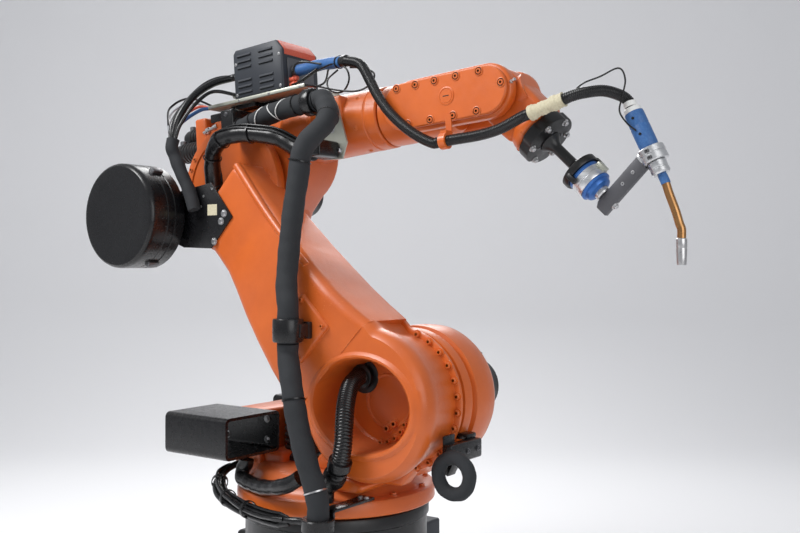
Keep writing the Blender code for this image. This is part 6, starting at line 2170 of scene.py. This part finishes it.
    def _column(self) -> None:
        """Builds the sleeve and the bundle that cross the column's near side."""
        points = [
            (-0.145, -0.222, 0.628), (-0.147, -0.222, 0.615), (-0.156, -0.224, 0.6), (-0.15, -0.234, 0.58),
            (-0.12, -0.246, 0.5745), (-0.075, -0.264, 0.5738), (-0.031, -0.28, 0.5755), (0.04, -0.306, 0.588),
            (0.1, -0.322, 0.606), (0.138, -0.318, 0.628)]
        route = smooth_route(points, 0.005)
        shape = self.hose("curled_sleeve", route, self._foam(self.curl, 2.2))
        shape.finish("column", "foam_sleeve", ["column_sleeve"])
        kx, ky = SLEEVE_CLAMP
        points = [
            (-0.264, -COLUMN_SIDE - self.gap, 0.588), (-0.264, -0.135, 0.588), (-0.278, -0.165, 0.574),
            (-0.268, -0.204, 0.552), (-0.205, -0.256, 0.532), (-0.085, -0.306, 0.523), (0.035, -0.338, 0.521),
            (0.12, -0.353, 0.5255), (0.16, ky, 0.528), (kx - SLEEVE_RADIUS - 0.013 - self.gap, ky, 0.5285)]
        route = smooth_route(points, 0.004)
        shape = self.hose("flank_bundle", route, lambda d: self.flank, "rubber_black", 22)
        count = len(route)
        for turn, reach, thick, low, high in (
                (-1.0, 0.0155, 0.0068, 14, count - 12), (0.6, 0.015, 0.0058, 10, count - 16),
                (2.2, 0.014, 0.0048, 16, count - 14)):
            strand = [
                self._beside(route, i, reach * min(1.0, 0.45 + 0.06 * min(i - low, high - i)), turn
                 + 0.5 * math.sin(i * 0.045)) for i in range(low, high)]
            shape.sweep(strand, lambda d, t=thick: t, 16)
        for distance in (0.115, 0.235, 0.36):
            point, along = self._at(route, distance)
            shape.use("rubber_black").band(point, along, 0.0225, 0.011, 0.0016)
        shape.finish("column", "black_rubber", ["flange_hose"])


@dataclass
class Studio:
    """Floor, backdrop, lights and camera."""

    eye: Point = (1.778, -2.178, 1.169)
    turn: float = 35.47
    lens: float = 43.425
    sensor: float = 36.0
    shade: Colour = (0.86, 0.86, 0.87)
    sky: Colour = (0.93, 0.95, 1.0)
    sky_strength: float = 0.42

    def build(self) -> None:
        """Builds the studio."""
        scene = bpy.context.scene
        scene.view_settings.view_transform = "Standard"
        self._backdrop()
        self._light("key_light", (-1.3, -2.3, 4.0), (0.1, 0.0, 0.9), 1.8, 150.0)
        self._light("fill_light", (3.4, -1.6, 2.0), (0.2, 0.0, 1.0), 2.4, 34.0)
        self._light("back_light", (-1.6, 2.4, 3.2), (0.0, 0.0, 1.0), 2.0, 70.0)
        world = bpy.data.worlds.new("studio_world")
        world.use_nodes = True
        background = world.node_tree.nodes["Background"]
        background.inputs["Color"].default_value = rgba(self.sky)
        background.inputs["Strength"].default_value = self.sky_strength
        scene.world = world
        data = bpy.data.cameras.new("camera")
        data.lens = self.lens
        data.sensor_width = self.sensor
        camera = bpy.data.objects.new("camera", data)
        camera.location = self.eye
        camera.rotation_euler = (math.radians(90.0), 0.0, math.radians(self.turn))
        scene.collection.objects.link(camera)
        scene.camera = camera

    def _backdrop(self) -> None:
        """Builds the pale floor that curves up behind the robot."""
        mesh = bmesh.new()
        path = [(-6.0, 0.0), *arc((3.2, 1.8), 1.8, -90.0, 90.0, 10), (5.0, 7.0)]
        turn = Matrix.Rotation(math.radians(self.turn), 3, "Z")
        rows = [[mesh.verts.new(turn @ Vector((x, y, z))) for x in (-9.0, 9.0)] for y, z in path]
        for low, high in zip(rows, rows[1:]):
            mesh.faces.new((low[0], low[1], high[1], high[0])).smooth = True
        data = bpy.data.meshes.new("backdrop")
        mesh.to_mesh(data)
        mesh.free()
        material, _, shader = start_material("backdrop_paper")
        shader.inputs["Base Color"].default_value = rgba(self.shade)
        shader.inputs["Roughness"].default_value = 0.9
        data.materials.append(material)
        backdrop = bpy.data.objects.new("backdrop", data)
        bpy.context.scene.collection.objects.link(backdrop)

    def _light(self, name: str, place: Point, target: Point, size: float, power: float) -> None:
        """Adds a soft area light.

        Args:
            name: The light's name.
            place: Its place.
            target: The point that it looks at.
            size: Its side.
            power: Its power in watts.
        """
        data = bpy.data.lights.new(name, "AREA")
        data.size = size
        data.energy = power
        light = bpy.data.objects.new(name, data)
        light.location = place
        light.rotation_euler = (Vector(target) - Vector(place)).to_track_quat("-Z", "Y").to_euler()
        bpy.context.scene.collection.objects.link(light)


def main() -> None:
    """Builds the robot arm's looks around its CAD frame."""
    logging.basicConfig(level=logging.INFO, format="%(message)s")
    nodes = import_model()["nodes"]
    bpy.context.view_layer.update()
    palette = Palette(SharedEffects())
    for assembly in (
            BaseAssembly, ColumnAssembly, LinkAssembly, ArmAssembly, WristAssembly, HandAssembly, ToolAssembly,
            HoseSet):
        assembly(palette, nodes).build()
    Studio().build()


if __name__ == "__main__":
    main()
